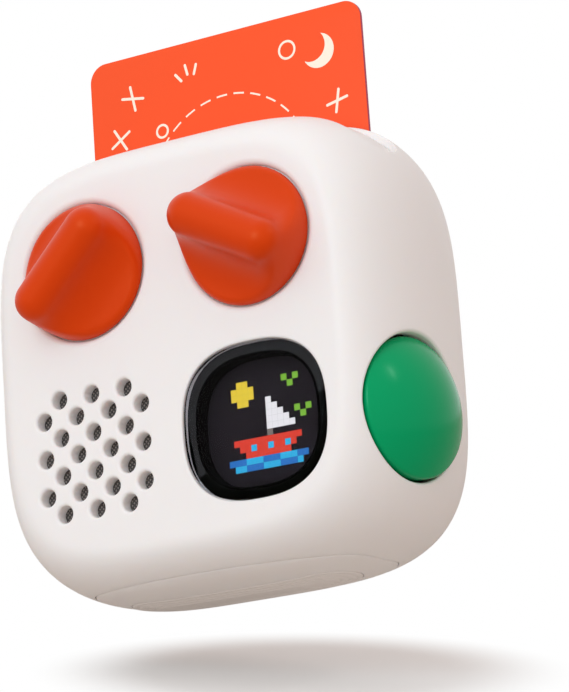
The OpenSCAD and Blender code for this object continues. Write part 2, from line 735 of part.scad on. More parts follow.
// play button: a domed cap with a skirt and a stem that slides in the holder
module play_button() {
  r = button_d / 2;
  ball = (r * r + button_dome * button_dome) / (2 * button_dome);
  color([0, 0.6, 0.36]) at_middle() at_button() {
    intersection() {
      translate([0, 0, button_dome - ball]) sphere(r = ball, $fn = 96);
      translate([0, 0, -0.01]) rod(button_d, button_dome + 1);
    }
    translate([0, 0, -1.4]) rod(button_d, 1.4);
    translate([0, 0, -2.6]) tube(button_d, button_d - 2.4, 1.3);
    translate([0, 0, stem_tip]) rod(stem_d, -1.3 - stem_tip);
  }
}
module button_holder() {
  color([0.82, 0.82, 0.8]) at_middle() {
    at_button() difference() {
      union() {
        translate([0, 0, -7]) rod(holder_d, 1.6);
        translate([0, 0, -5.5]) tube(11.5, 9.5, 1);
        translate([0, 0, button_board_z + 0.05]) tube(holder_d, holder_d - 2.4, -6.9 - button_board_z);
      }
      translate([0, 0, -9]) rod(stem_d + 2 * run_gap, 8);
      translate([-12, 4.6, button_board_z - 1]) cube([24, 8, -7.1 - button_board_z + 1]);
    }
    // ear that lies on the chassis
    plate(ear_x, ear_x + 5.8, chassis_y - 1.65, 1.6, ear_z, ear_z + 5);
  }
}
module button_spring() {
  color("silver") at_middle() at_button() translate([0, 0, -5.1])
    wire(helix(3.8, 3.3, 4, 12), 0.5, 6);
}
module button_switch() {
  color([0.15, 0.15, 0.16]) at_middle() at_button() {
    translate([-3, -3, button_board_z]) cube([6, 6, switch_t]);
    translate([0, 0, button_board_z + switch_t - 0.1]) rod(3.2, plunger + 0.1);
  }
}
module button_board() {
  color([0.1, 0.42, 0.3]) at_middle() at_button() translate([-6.7, -4.6, button_board_z - board_t])
    cube([13.4, 9.2, board_t]);
}

module main_board() {
  color([0.1, 0.42, 0.3]) at_middle() difference() {
    plate(-main_w / 2, main_w / 2, board_y, board_t, 0, main_h);
    for (p = board_posts) facing_back(p[0], board_y - 1, p[1]) rod(screw_d + 0.3, board_t + 2);
  }
}
module main_board_screws() {
  color("silver") at_middle() for (p = board_posts)
    facing_front(p[0], board_back_y, p[1]) screw(screw_d - 0.1, 2.2 + board_t);
}
module processor_shield() {
  color([0.7, 0.71, 0.73]) at_middle() plate(-shield_w / 2, shield_w / 2, board_back_y, 1.8,
    main_h - 0.9 - shield_h, main_h - 0.9);
}
module connector(x, y, z, w, t, h) { plate(x - w / 2, x + w / 2, y, t, z, z + h); }
module board_connectors() {
  color([0.93, 0.92, 0.88]) at_middle() {
    connector(battery_plug_x, board_back_y, lead_end_z, 7, 3, 4);
    connector(speaker_plug_x, control_back_y, control_bottom + 1.5, 4.8, 2.4, 4);
    connector(ribbon_x, control_back_y, ribbon_top, ribbon_w + 1.2, 1.4, 3.2);
  }
}
module battery() {
  r = battery_t / 2;
  color([0.55, 0.57, 0.62]) at_middle() {
    plate(-battery_l / 2 + r, battery_l / 2 - r, battery_y, battery_t, battery_z, battery_z + battery_h);
    for (s = [-1, 1]) translate([s * (battery_l / 2 - r), battery_y + r, battery_z])
      rod(battery_t, battery_h);
  }
}
module battery_pad() {
  color([0.3, 0.3, 0.3]) at_middle()
    plate(-pad_w / 2, pad_w / 2, battery_y - pad_t, pad_t, battery_z + 8, battery_z + battery_h - 2);
}
module battery_leads() {
  z = battery_z + battery_h;
  y = battery_y + battery_t / 2;
  color([0.75, 0.12, 0.1]) at_middle() for (s = [-1, 1]) let (x = battery_plug_x + s * 0.9) wire([
    [x, y, z], [x, y, z + 1], [x, y + 0.1, z + 3], [x, y + 0.1, lead_end_z]
  ], 1);
}
module charging_port() {
  l = rear_face_y - 0.3 - board_back_y;
  color([0.72, 0.73, 0.75]) at_middle() facing_back(port_x, board_back_y, port_z) difference() {
    stadium(8.9, 3.2, l);
    difference() {
      translate([0, 0, l - 6.2]) stadium(8.3, 2.6, 7);
      translate([-3.3, -0.35, l - 7]) cube([6.6, 0.7, 5.8]);
    }
  }
}
module headphone_jack() {
  l = rear_face_y - 0.3 - board_back_y;
  color([0.13, 0.13, 0.14]) at_middle() facing_back(jack_x, board_back_y, port_z) difference() {
    union() {
      translate([-4, -4, 0]) cube([8, 8, l - 2.4]);
      rod(6.4, l);
    }
    translate([0, 0, 1]) rod(jack_d, l);
  }
}
module power_button() {
  color([0.93, 0.91, 0.89]) at_middle() facing_back(power_x, 0, power_z) {
    translate([0, 0, ledge_y - 2.5]) rod(power_d, rear_face_y + 0.5 - ledge_y + 2.5);
    translate([0, 0, ledge_y - 3.7]) rod(power_d + 2.4, 1.3);
  }
}
module power_switch() {
  color([0.15, 0.15, 0.16]) at_middle() {
    plate(power_x - 3, power_x + 3, board_back_y, 2.2, power_z - 3, power_z + 3);
    facing_back(power_x, board_back_y + 2.1, power_z)
      rod(3, ledge_y - 3.8 - power_travel - board_back_y - 2.1);
  }
}

main_shell();
rear_cover();
rear_cover_screws();
base_cover();
base_screws();
foot_pad();
slot_trim();
card_guide();
card_stop_switch();
story_card();
reader_board();
reader_coil();
chassis();
chassis_screws();
display_window();
window_seal();
display_frame();
display_panel();
display_ribbon();
grille_cloth();
speaker_gasket();
speaker_frame();
speaker_cone();
speaker_cap();
speaker_magnet();
speaker_leads();
left_knob();
right_knob();
left_encoder();
right_encoder();
left_shaft();
right_shaft();
encoder_washers();
encoder_nuts();
control_board();
play_button();
button_holder();
button_spring();
button_switch();
button_board();
main_board();
main_board_screws();
processor_shield();
board_connectors();
battery();
battery_pad();
battery_leads();
charging_port();
headphone_jack();
power_button();
power_switch();
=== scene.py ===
import bpy, bmesh, json, math
from functools import partial
from mathutils import Matrix, Vector


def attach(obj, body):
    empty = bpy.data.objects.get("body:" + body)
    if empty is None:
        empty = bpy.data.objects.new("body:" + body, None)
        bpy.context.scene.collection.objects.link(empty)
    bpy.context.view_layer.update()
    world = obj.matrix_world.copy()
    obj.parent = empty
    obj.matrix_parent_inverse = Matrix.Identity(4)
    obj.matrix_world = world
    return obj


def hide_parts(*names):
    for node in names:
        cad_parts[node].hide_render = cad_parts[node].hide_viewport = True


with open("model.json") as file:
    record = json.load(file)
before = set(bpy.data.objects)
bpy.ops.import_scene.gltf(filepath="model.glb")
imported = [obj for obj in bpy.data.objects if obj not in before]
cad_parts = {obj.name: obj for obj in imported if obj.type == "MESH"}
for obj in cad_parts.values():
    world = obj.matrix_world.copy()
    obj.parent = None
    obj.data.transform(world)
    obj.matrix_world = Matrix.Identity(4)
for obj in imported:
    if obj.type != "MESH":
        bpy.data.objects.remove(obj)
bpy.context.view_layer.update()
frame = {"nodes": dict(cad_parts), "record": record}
bpy.ops.object.select_all(action="DESELECT")
print("frame loaded,", len(frame["nodes"]), "nodes")

# lengths below are millimetres; heights count from the body's middle
mm = 0.001
middle = 38.45
body = dict(halfX=38.1, halfZ=38.35, halfY=19.0, run=7.7, power=4.0, wall=2.4, ledge=15.2, backShare=0.55)
# a piece is made looking up; these are its three axes once it looks another way
turns = dict(front=((1, 0, 0), (0, 0, 1), (0, -1, 0)), back=((-1, 0, 0), (0, 0, 1), (0, 1, 0)),
             foot=((1, 0, 0), (0, -1, 0), (0, 0, -1)), top=((1, 0, 0), (0, 1, 0), (0, 0, 1)))


def steps(first, last, count):
    return [first + (last - first) * i / count for i in range(count + 1)]


def pickOnly(*pieces):
    bpy.ops.object.select_all(action="DESELECT")
    for piece in pieces:
        piece.select_set(True)
    bpy.context.view_layer.objects.active = pieces[0]


def turned(spot, *axes):
    return Matrix.Translation(spot) @ Matrix(axes).transposed().to_4x4()


def facing(x, y, z, way):
    return turned((x * mm, y * mm, (z + middle) * mm), *turns[way])


def onFront(x, z):
    return facing(x, -body["halfY"], z, "front")


def settle(piece, place=None, smooth=35):
    # puts the piece's place into its mesh and shades it
    pickOnly(piece)
    if place is not None:
        piece.matrix_world = place
    bpy.ops.object.transform_apply(location=True, rotation=True, scale=True)
    if smooth:
        bpy.ops.object.shade_smooth_by_angle(angle=math.radians(smooth))
    return piece


def startEdit(name):
    # names the primitive that was just added and opens it
    piece = bpy.context.object
    piece.name = name
    bpy.ops.object.mode_set(mode="EDIT")
    return piece


def endEdit():
    # turns all faces outwards and leaves edit mode
    bpy.ops.mesh.select_all(action="SELECT")
    bpy.ops.mesh.normals_make_consistent(inside=False)
    bpy.ops.object.mode_set(mode="OBJECT")


def pickRims():
    bpy.ops.mesh.select_all(action="DESELECT")
    bpy.ops.mesh.select_non_manifold(extend=False, use_wire=False, use_boundary=True,
                                     use_multi_face=False, use_non_contiguous=False, use_verts=False)


def dropFaces(piece, unwanted, kind):
    # takes away the faces that the test picks, and stays in edit mode
    pickOnly(piece)
    bpy.ops.object.mode_set(mode="EDIT")
    bpy.ops.mesh.select_all(action="DESELECT")
    mesh = bmesh.from_edit_mesh(piece.data)
    for face in mesh.faces:
        if unwanted(face):
            face.select = True
    bmesh.update_edit_mesh(piece.data)
    bpy.ops.mesh.delete(type=kind)


def openMiddle(piece):
    # takes both end faces out and joins their rims, so that a rod becomes a ring
    dropFaces(piece, lambda face: len(face.verts) > 8, "ONLY_FACE")
    pickRims()
    bpy.ops.mesh.bridge_edge_loops()
    endEdit()


def tidyMesh(piece):
    pickOnly(piece)
    bpy.ops.object.mode_set(mode="EDIT")
    bpy.ops.mesh.select_all(action="SELECT")
    bpy.ops.mesh.remove_doubles(threshold=1e-6)
    endEdit()


def useModifier(piece, kind, **values):
    pickOnly(piece)
    mod = piece.modifiers.new(kind.lower(), kind)
    for key, value in values.items():
        setattr(mod, key, value)
    bpy.ops.object.modifier_apply(modifier=mod.name)


def joined(pieces):
    pickOnly(*pieces)
    if len(pieces) > 1:
        bpy.ops.object.join()
    return pieces[0]


def carve(piece, *tools, how="DIFFERENCE"):
    tool = joined(tools)
    useModifier(piece, "BOOLEAN", operation=how, solver="MANIFOLD", object=tool)
    bpy.data.objects.remove(tool)


def copyOf(piece, name):
    twin = piece.copy()
    twin.data = piece.data.copy()
    twin.name = name
    bpy.context.collection.objects.link(twin)
    return twin


# outlines give their radius, in mm, at an angle, grown by an offset
def squircle(halfX, halfY, power=2.0):
    def radius(angle, grow=0.0):
        across = abs(math.cos(angle)) / (halfX + grow)
        along = abs(math.sin(angle)) / (halfY + grow)
        return (across ** power + along ** power) ** (-1 / power)
    return radius


def disc(r):
    return squircle(r, r)


def roundedBox(halfX, halfY, corner):
    def radius(angle, grow=0.0):
        hx, hy, rc = halfX + grow, halfY + grow, corner + grow
        c, s = max(abs(math.cos(angle)), 1e-9), max(abs(math.sin(angle)), 1e-9)
        if hx * s / c <= hy - rc:
            return hx / c
        if hy * c / s <= hx - rc:
            return hy / s
        cx, cy = hx - rc, hy - rc
        b = c * cx + s * cy
        return b + math.sqrt(max(b * b - cx * cx - cy * cy + rc * rc, 0))
    return radius


def evenAngles(outline, count):
    # angles at even distances round the outline, none of them at half a turn
    fine = 4096
    spots = []
    for a in (-math.pi + math.tau * i / fine for i in range(fine + 1)):
        r = outline(a)
        spots.append((r * math.cos(a), r * math.sin(a)))
    run = [0.0]
    for p, q in zip(spots, spots[1:]):
        run.append(run[-1] + math.dist(p, q))
    angles, at = [], 0
    for k in range(count):
        goal = run[-1] * (k + 0.5) / count
        while run[at + 1] < goal:
            at += 1
        share = (goal - run[at]) / (run[at + 1] - run[at])
        angles.append(-math.pi + math.tau * (at + share) / fine)
    return angles


def ringPiece(name, outline, levels, count=96, place=None, smooth=35, point=False):
    # a circle drawn out ring by ring: each level is (grow, height), and the height may follow a surface
    bpy.ops.mesh.primitive_circle_add(vertices=count, radius=mm, fill_type="NOTHING")
    piece = startEdit(name)
    bpy.ops.mesh.select_all(action="SELECT")
    angles = evenAngles(outline, count)
    for number, (grow, height) in enumerate(levels):
        if number:
            bpy.ops.mesh.extrude_edges_move()
        mesh = bmesh.from_edit_mesh(piece.data)
        ring = sorted((v for v in mesh.verts if v.select), key=lambda v: math.atan2(v.co.y, v.co.x))
        for v, angle in zip(ring, angles):
            r = outline(angle, grow)
            x, y = r * math.cos(angle), r * math.sin(angle)
            z = height(x, y) if callable(height) else height
            v.co = (x * mm, y * mm, z * mm)
        bmesh.update_edit_mesh(piece.data)
    if point:
        bpy.ops.mesh.merge(type="CENTER")
    else:
        bpy.ops.mesh.edge_face_add()
    pickRims()
    bpy.ops.mesh.edge_face_add()
    endEdit()
    return settle(piece, place, smooth)


def below(surface, drop):
    return lambda x, y: surface(x, y) - drop


def softRim(rim, deep, above=1.5, start=12, parts=7, follow=lambda x, y: 0.0, flare=0.5):
    # levels of a cutting tool whose mouth rounds the edge of the hole over
    first = math.radians(start)
    wide = rim * (1 - math.sin(first)) + flare
    high = rim * (1 - math.cos(first)) - flare * math.tan(first)
    drops = [(wide, high - above), (wide, high)]
    drops += [(rim * (1 - math.sin(a)), rim * (1 - math.cos(a))) for a in steps(first, math.pi / 2, parts)]
    return [(grow, below(follow, drop)) for grow, drop in drops + [(0, deep)]]


def roundOver(edge, first=15, parts=5, grow=0, top=0, up=None):
    # levels of an outer edge that rounds over to a flat top
    bends = [math.radians(a) for a in steps(first, 90, parts)]
    return [(grow - edge * (1 - math.cos(t)), top - (up or edge) * (1 - math.sin(t))) for t in bends]


def bodyShare(x, z):
    return ((abs(x) / body["halfX"]) ** body["power"]
            + (abs(z) / body["halfZ"]) ** body["power"]) ** (1 / body["power"])


def outside(x, y, z):
    # above 0 outside the body, below 0 inside
    if abs(y) >= body["halfY"]:
        return 1.0
    turn = math.asin(y / body["halfY"])
    return bodyShare(x, z) - (1 - body["run"] * (1 - math.cos(turn)) / body["halfX"])


def bodyAlong(place, low=-8.0, high=8.0):
    # height, along a tool's own axis, at which it passes the body's surface
    def height(x, y):
        bottom, top = low, high
        for i in range(32):
            mid = (bottom + top) / 2
            p = place @ Vector((x * mm, y * mm, mid * mm))
            if outside(p.x / mm, p.y / mm, p.z / mm - middle) > 0:
                top = mid
            else:
                bottom = mid
        return (bottom + top) / 2
    return height


def drawOut(piece, rings, put):
    # draws the selected edge out ring by ring and closes it
    for ring in rings:
        bpy.ops.mesh.extrude_edges_move()
        mesh = bmesh.from_edit_mesh(piece.data)
        for v in mesh.verts:
            if v.select:
                v.co = put(v.co, *ring)
        bmesh.update_edit_mesh(piece.data)
    bpy.ops.mesh.edge_face_add()
    endEdit()


def bodyForm(name, inset, cells, turnFrom, ringTurns, bend=None):
    # a sheet of squares for the front, its edge drawn round the sides and over the back
    halfX, halfZ, halfY = (body[k] - inset for k in ("halfX", "halfZ", "halfY"))
    run, power = body["run"], body["power"]

    def shareAt(degrees):
        return 1 - run * (1 - math.cos(math.radians(degrees))) / halfX
    length = halfX - run
    table = [(0.0, 0.0, 90.0), (length, 1 - run / halfX, 90.0)]
    for turn in range(90, -90, -1):
        a, b = math.radians(turn), math.radians(turn - 1)
        length += math.hypot(run * (math.cos(b) - math.cos(a)), halfY * (math.sin(a) - math.sin(b)))
        table.append((length, shareAt(turn - 1), turn - 1))
    reach = next(t[0] for t in table if t[2] <= turnFrom)

    def along(distance):
        for p, q in zip(table, table[1:]):
            if distance <= q[0]:
                f = (distance - p[0]) / max(q[0] - p[0], 1e-9)
                return p[1] + f * (q[1] - p[1]), -halfY * math.sin(math.radians(p[2] + f * (q[2] - p[2])))
        return table[-1][1], halfY

    def spotAt(x, z, share, y):
        grow = share / (abs(x) ** power + abs(z) ** power) ** (1 / power)
        return x * grow * halfX * mm, y * mm, z * grow * halfZ * mm

    bpy.ops.mesh.primitive_grid_add(x_subdivisions=cells, y_subdivisions=cells, size=2)
    piece = startEdit(name)
    mesh = bmesh.from_edit_mesh(piece.data)
    for v in mesh.verts:
        x, z = v.co.x, v.co.y
        m = max(abs(x), abs(z))
        v.co = spotAt(x, z, *along(m * reach)) if m >= 1e-6 else (0, -halfY * mm, 0)
    bmesh.update_edit_mesh(piece.data)
    pickRims()
    rings = [(shareAt(t), -halfY * math.sin(math.radians(t))) for t in steps(*ringTurns) + [-90]]
    drawOut(piece, rings + [(body["backShare"], halfY)],
            lambda co, share, y: spotAt(co.x / halfX, co.z / halfZ, share, y))
    if bend:
        for v in piece.data.vertices:
            bend(v.co)
    return settle(piece, Matrix.Translation((0, 0, middle * mm)), None)


def hollowOut(piece, inset, cells=24, rings=8, bend=None):
    carve(piece, bodyForm("hollow", inset, cells, 40, (30, -80, rings), bend))


def feed(tree, socket, value):
    # links a socket to another one, or sets it
    if isinstance(value, bpy.types.NodeSocket):
        tree.links.new(value, socket)
    else:
        socket.default_value = (*value[:3], 1) if socket.type == "RGBA" else value


def plug(tree, node, *values, **named):
    # inputs by number or by name, where an underscore stands for a space
    for socket, value in zip(node.inputs, values):
        feed(tree, socket, value)
    for key, value in named.items():
        feed(tree, node.inputs[key.replace("_", " ")], value)
    return node.outputs


def addNode(tree, kind, *values, **named):
    # a node by its kind, with its settings and inputs; gives its outputs
    node = tree.nodes.new("ShaderNode" + kind)
    for key in [key for key in named if hasattr(node, key)]:
        setattr(node, key, named.pop(key))
    return plug(tree, node, *values, **named)


def mathNode(tree, operation, *values, **named):
    return addNode(tree, "Math", *values, operation=operation, **named)[0]


def vectorNode(tree, operation, *values, **named):
    return addNode(tree, "VectorMath", *values, operation=operation, **named)


def mixColors(tree, share, first, second):
    node = tree.nodes.new("ShaderNodeMix")
    node.data_type = "RGBA"
    for number, value in ((0, share), (6, first), (7, second)):
        feed(tree, node.inputs[number], value)
    return node.outputs[2]


def startGroup(name, outputs, **inputs):
    # an input's first value tells its kind: one number, three for a vector or four for a colour
    group = bpy.data.node_groups.new(name, "ShaderNodeTree")
    for key, value in inputs.items():
        kind = {1: "Float", 3: "Vector", 4: "Color"}[len(value) if isinstance(value, tuple) else 1]
        socket = group.interface.new_socket(key.replace("_", " "), in_out="INPUT",
                                            socket_type="NodeSocket" + kind)
        socket.default_value = value
    for label in outputs.split():
        kind = "Color" if label == "Color" else "Float"
        group.interface.new_socket(label, in_out="OUTPUT", socket_type="NodeSocket" + kind)
    given, result = group.nodes.new("NodeGroupInput").outputs, group.nodes.new("NodeGroupOutput")
    return group, given, result, partial(mathNode, group)


def buildMouldedGrain():
    # fine spark texture of a mould, slow drift of tone, and a little rubbed polish
    group, given, result, calc = startGroup(
        "mouldedGrain", "Color Roughness Height", Place=(0, 0, 0), Color=(0.8, 0.8, 0.8, 1),
        Deep_Color=(0.7, 0.7, 0.7, 1), Grain_Size=2600.0, Drift_Size=26.0, Drift=0.3, Roughness=0.45, Rub=0.08)
    fine = addNode(group, "TexNoise", Vector=given["Place"], Scale=given["Grain Size"], Detail=2.0,
                   Roughness=0.6)[0]
    slow = addNode(group, "TexNoise", Vector=given["Place"], Scale=given["Drift Size"], Detail=3.0,
                   Roughness=0.5)[0]
    color = mixColors(group, calc("MULTIPLY", slow, given["Drift"]), given["Color"], given["Deep Color"])
    rough = calc("MULTIPLY_ADD", calc("SUBTRACT", slow, 0.5), given["Rub"], given["Roughness"])
    rough = calc("MULTIPLY_ADD", calc("SUBTRACT", fine, 0.5), calc("MULTIPLY", given["Rub"], 0.5), rough)
    plug(group, result, color, rough, fine)
    return group


def buildBrushed():
    # drawn or rolled metal: fine lines along one axis and faint stains
    group, given, result, calc = startGroup(
        "brushedMetal", "Color Roughness Height", Place=(0, 0, 0), Color=(0.6, 0.6, 0.6, 1),
        Stain=(0.3, 0.3, 0.3, 1), Roughness=0.3, Lines=1.0)
    stretched = addNode(group, "Mapping", given["Place"], Scale=(180, 2600, 2600))[0]
    lines = addNode(group, "TexNoise", stretched, Scale=1.0, Detail=3.0)[0]
    blot = addNode(group, "TexNoise", given["Place"], Scale=220.0, Detail=3.0)[0]
    stain = calc("MULTIPLY", calc("POWER", blot, 3.0), 1.6)
    swing = calc("MULTIPLY", calc("SUBTRACT", lines, 0.5), 0.3)
    plug(group, result, mixColors(group, stain, given["Color"], given["Stain"]),
         calc("ADD", calc("MULTIPLY", swing, given["Lines"]), given["Roughness"]),
         calc("MULTIPLY", lines, given["Lines"]))
    return group


mouldedGrain = buildMouldedGrain()
brushedMetal = buildBrushed()


def startMaterial(name):
    material = bpy.data.materials.new(name)
    material.use_nodes = True
    tree = material.node_tree
    tree.nodes.clear()
    shader = tree.nodes.new("ShaderNodeBsdfPrincipled")
    addNode(tree, "OutputMaterial", shader.outputs[0])
    return material, tree, shader, addNode(tree, "TexCoord")["Object"]


def useGroup(tree, group, place, **named):
    return addNode(tree, "Group", node_tree=group, Place=place, **named)


def bump(tree, height, strength, distance):
    return addNode(tree, "Bump", Height=height, Strength=strength, Distance=distance)[0]


def srgb(r, g, b):
    return tuple((v / 255 / 12.92) if v <= 10.3 else ((v / 255 + 0.055) / 1.055) ** 2.4 for v in (r, g, b))


def moulded(name, color, deep, rough=0.45, grain=0.12, size=2600.0, drift=0.3, specular=0.5, subsurface=0.0,
            tint=(1, 1, 1)):
    material, tree, shader, place = startMaterial(name)
    group = useGroup(tree, mouldedGrain, place, Color=srgb(*color), Deep_Color=srgb(*deep), Grain_Size=size,
                     Roughness=rough, Drift=drift)
    plug(tree, shader, Base_Color=group["Color"], Roughness=group["Roughness"], Coat_Roughness=0.25,
         Normal=bump(tree, group["Height"], grain, 0.00004), Specular_IOR_Level=specular, Specular_Tint=tint)
    if subsurface:
        plug(tree, shader, Subsurface_Weight=subsurface, Subsurface_Radius=(0.0012, 0.0009, 0.0007),
             Subsurface_Scale=1.0)
    return material


def metal(name, color, stain, rough=0.3, lines=1.0):
    material, tree, shader, place = startMaterial(name)
    group = useGroup(tree, brushedMetal, place, Color=color, Stain=stain, Roughness=rough, Lines=lines)
    plug(tree, shader, Base_Color=group["Color"], Roughness=group["Roughness"], Metallic=1.0,
         Normal=bump(tree, group["Height"], 0.15, 0.00003))
    return material


shellPlastic = moulded("shellPlastic", (244, 240, 239), (240, 235, 233), rough=0.46, specular=0.3, subsurface=0.25)
trimPlastic = moulded("trimPlastic", (243, 239, 238), (238, 232, 230), rough=0.5, specular=0.3)
knobPlastic = moulded("knobPlastic", (216, 60, 5), (204, 50, 3), rough=0.4, grain=0.04, specular=0.45,
                      tint=(1.0, 0.45, 0.18), subsurface=0.05)
playPlastic = moulded("playPlastic", (0, 160, 100), (0, 150, 90), rough=0.2, grain=0.02, specular=0.17,
                      tint=(0.5, 1.0, 0.8))
darkPlastic = moulded("darkPlastic", (26, 24, 25), (18, 17, 18), rough=0.5)
innerPlastic = moulded("innerPlastic", (222, 221, 216), (206, 205, 200), rough=0.5)
creamPlastic = moulded("creamPlastic", (235, 228, 212), (222, 214, 196))
softRubber = moulded("softRubber", (240, 235, 233), (234, 228, 225), rough=0.7, grain=0.2, size=1800.0,
                     specular=0.2)
blackFoam = moulded("blackFoam", (44, 44, 45), (24, 24, 25), rough=0.9, grain=0.9, size=900.0, drift=0.8)
conePaper = moulded("conePaper", (52, 52, 54), (34, 34, 36), rough=0.8, grain=0.7, size=1200.0)
redWire = moulded("redWire", (190, 30, 24), (150, 20, 18), rough=0.4)
steelPlate = metal("steelPlate", (0.62, 0.63, 0.65), (0.42, 0.42, 0.43))
castZinc = metal("castZinc", (0.5, 0.51, 0.53), (0.38, 0.38, 0.4), rough=0.45, lines=0.3)
copperTrack = metal("copperTrack", (0.86, 0.5, 0.3), (0.6, 0.3, 0.16), rough=0.35, lines=0.5)
foilPouch = metal("foilPouch", (0.6, 0.62, 0.66), (0.5, 0.51, 0.55), rough=0.38, lines=0.4)
platedMagnet = metal("platedMagnet", (0.42, 0.42, 0.44), (0.3, 0.3, 0.32), rough=0.25, lines=0.6)
print("plain finishes made")


def dress(piece, material):
    piece.data.materials.clear()
    piece.data.materials.append(material)
    for face in piece.data.polygons:
        face.material_index = 0


def finishPiece(piece, material, rides, slot, *nodes):
    # finish, moving body, record slot (not used) and the solids it stands for
    dress(piece, material)
    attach(piece, rides)
    if nodes:
        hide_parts(*nodes)


# main shell: heights and radii in mm, places over the body's middle
shellParts = dict(cells=120, knobX=15.6, knobZ=15.6, dish=1.0, dishFlat=11.42, dishRim=1.15, bush=3.65,
                  holeR=1.45, holeRim=0.5, pitch=6.3, row=3.15, grilleX=-15.4, grilleZ=-14.3,
                  windowX=14.9, windowZ=-14.2, windowHalf=(13.2, 12.65), windowPower=2.6, windowRim=0.35,
                  wellHalf=(11.45, 10.9), buttonR=11.85, buttonRim=0.6, buttonRoom=9.0, buttonTurn=12,
                  buttonSpot=(36.4, -5.25, -13.9), baseHalf=(26.0, 13.8), basePower=2.9, baseRim=0.2,
                  troughHalf=(34.2, 5.6), troughCorner=4.6, troughY=-3.2, troughRim=0.35,
                  slotHalf=(27.6, 0.88), slotCorner=0.6, slotRim=0.22, slotY=4.1, rearHalf=29.65,
                  rearSeat=28.7, rearPower=4, underZ=-30, overZ=24, toolTop=18.0)


def buttonPlace():
    turn = math.radians(shellParts["buttonTurn"])
    axis = Vector((math.cos(turn), -math.sin(turn), 0))
    across = Vector((math.sin(turn), math.cos(turn), 0))
    spot = Vector(shellParts["buttonSpot"]) + Vector((0, 0, middle))
    return turned(spot * mm, across, (0, 0, 1), axis)


windowOutline = squircle(*shellParts["windowHalf"], shellParts["windowPower"])
windowPlace = onFront(shellParts["windowX"], shellParts["windowZ"])
baseOutline = squircle(*shellParts["baseHalf"], shellParts["basePower"])
basePlace = facing(0, 0, shellParts["underZ"], "foot")
footPlace = facing(0, 0, -body["halfZ"], "foot")


def cutKnobDishes(shell):
    # shallow dishes with wide rounded rims
    s = shellParts
    levels = [(grow, max(height(0, 0), -s["dish"]))
              for grow, height in softRim(s["dishRim"], s["dish"], start=4, parts=14)]
    carve(shell, *[ringPiece("dishTool", disc(s["dishFlat"]), levels + [(-4, -s["dish"])], count=120,
                             place=onFront(side * s["knobX"], s["knobZ"])) for side in (-1, 1)])


def cutFrontHoles(shell):
    # the grille's rows of three and four holes, the knobs' bushes and the window's recess
    s = shellParts
    tools = []
    first = ringPiece("grilleTool", disc(s["holeR"]), softRim(s["holeRim"], 4.0), count=36)
    for i in range(7):
        across = 3 if i % 2 == 0 else 4
        for k in range(across):
            x = s["grilleX"] + (k - (across - 1) / 2) * s["pitch"]
            z = s["grilleZ"] + (i - 3) * s["row"]
            tools.append(settle(copyOf(first, "grilleTool%d" % len(tools)), onFront(x, z), None))
    bpy.data.objects.remove(first)
    for side in (-1, 1):
        tools.append(ringPiece("bushTool", disc(s["bush"]), [(0, -6), (0, 6)], count=48,
                               place=onFront(side * s["knobX"], s["knobZ"])))
    tools.append(ringPiece("windowTool", windowOutline, softRim(s["windowRim"], 1.5), count=120,
                           place=windowPlace))
    carve(shell, *tools)


def cutOpenings(shell):
    # the screen's well, and the mouths that follow the curved sides
    s = shellParts
    well = squircle(*s["wellHalf"], s["windowPower"])
    tools = [ringPiece("seatTool", well, [(0, -6), (0, 3)], count=96, place=windowPlace)]
    place = buttonPlace()
    levels = softRim(s["buttonRim"], s["buttonRoom"], above=4.0, follow=bodyAlong(place))
    levels[-1] = (0, -s["buttonRoom"])
    tools.append(ringPiece("buttonTool", disc(s["buttonR"]), levels, count=120, place=place))
    levels = softRim(s["baseRim"], 6.0, above=3.0, parts=3, follow=bodyAlong(basePlace, 0, 12))
    levels[-1] = (0, -2.0)
    tools.append(ringPiece("baseTool", baseOutline, levels, count=140, place=basePlace))
    for kind in ("trough", "slot"):
        place = facing(0, s[kind + "Y"], s["overZ"], "top")
        levels = softRim(s[kind + "Rim"], 6.0, above=3.0, follow=bodyAlong(place, 0, s["toolTop"]))
        levels[0] = (levels[0][0], s["toolTop"])  # a flat top, clear of the arched surface
        levels[-1] = (0, -3.0)
        tools.append(ringPiece(kind + "Tool", roundedBox(*s[kind + "Half"], s[kind + "Corner"]), levels,
                               count=200, place=place))
    rear = facing(0, body["halfY"], 0, "back")
    tools.append(ringPiece("rearTool", squircle(s["rearHalf"], s["rearHalf"], s["rearPower"]),
                           [(0, -2.2), (0, -0.3), (0.3, 0.0), (0.6, 2.0)], count=160, place=rear))
    carve(shell, *tools)
    carve(shell, ringPiece("rearRoom", squircle(s["rearSeat"], s["rearSeat"], s["rearPower"]),
                           [(0, -8), (0, 2)], count=120, place=rear))


def makeShell():
    def keepLedge(co):
        co.y = min(co.y, body["ledge"] * mm)
    shell = bodyForm("mainShellSkin", 0, shellParts["cells"], 45, (40, -85, 25))
    hollowOut(shell, body["wall"], 40, 11, keepLedge)
    cutKnobDishes(shell)
    cutFrontHoles(shell)
    cutOpenings(shell)
    tidyMesh(shell)
    settle(shell, None, 38)
    finishPiece(shell, shellPlastic, "player", "shell", "main_shell")


makeShell()
print("shell made")

# base cover, foot and slot trough
coverParts = dict(gap=0.15, rim=0.25, footHalf=(21, 6), footRise=0.1, footProud=0.12, footEdge=0.2, footSeat=1.15,
                  grooves=3, groovePitch=1.3, troughDeep=1.1, troughLean=0.085, troughWall=3.5, troughGap=0.02,
                  groove=((0.7, 0), (0.85, 0.05), (0.95, 0.14), (1.25, 0.14), (1.35, 0.05), (1.5, 0)))
footOutline = roundedBox(*coverParts["footHalf"], coverParts["footHalf"][1])


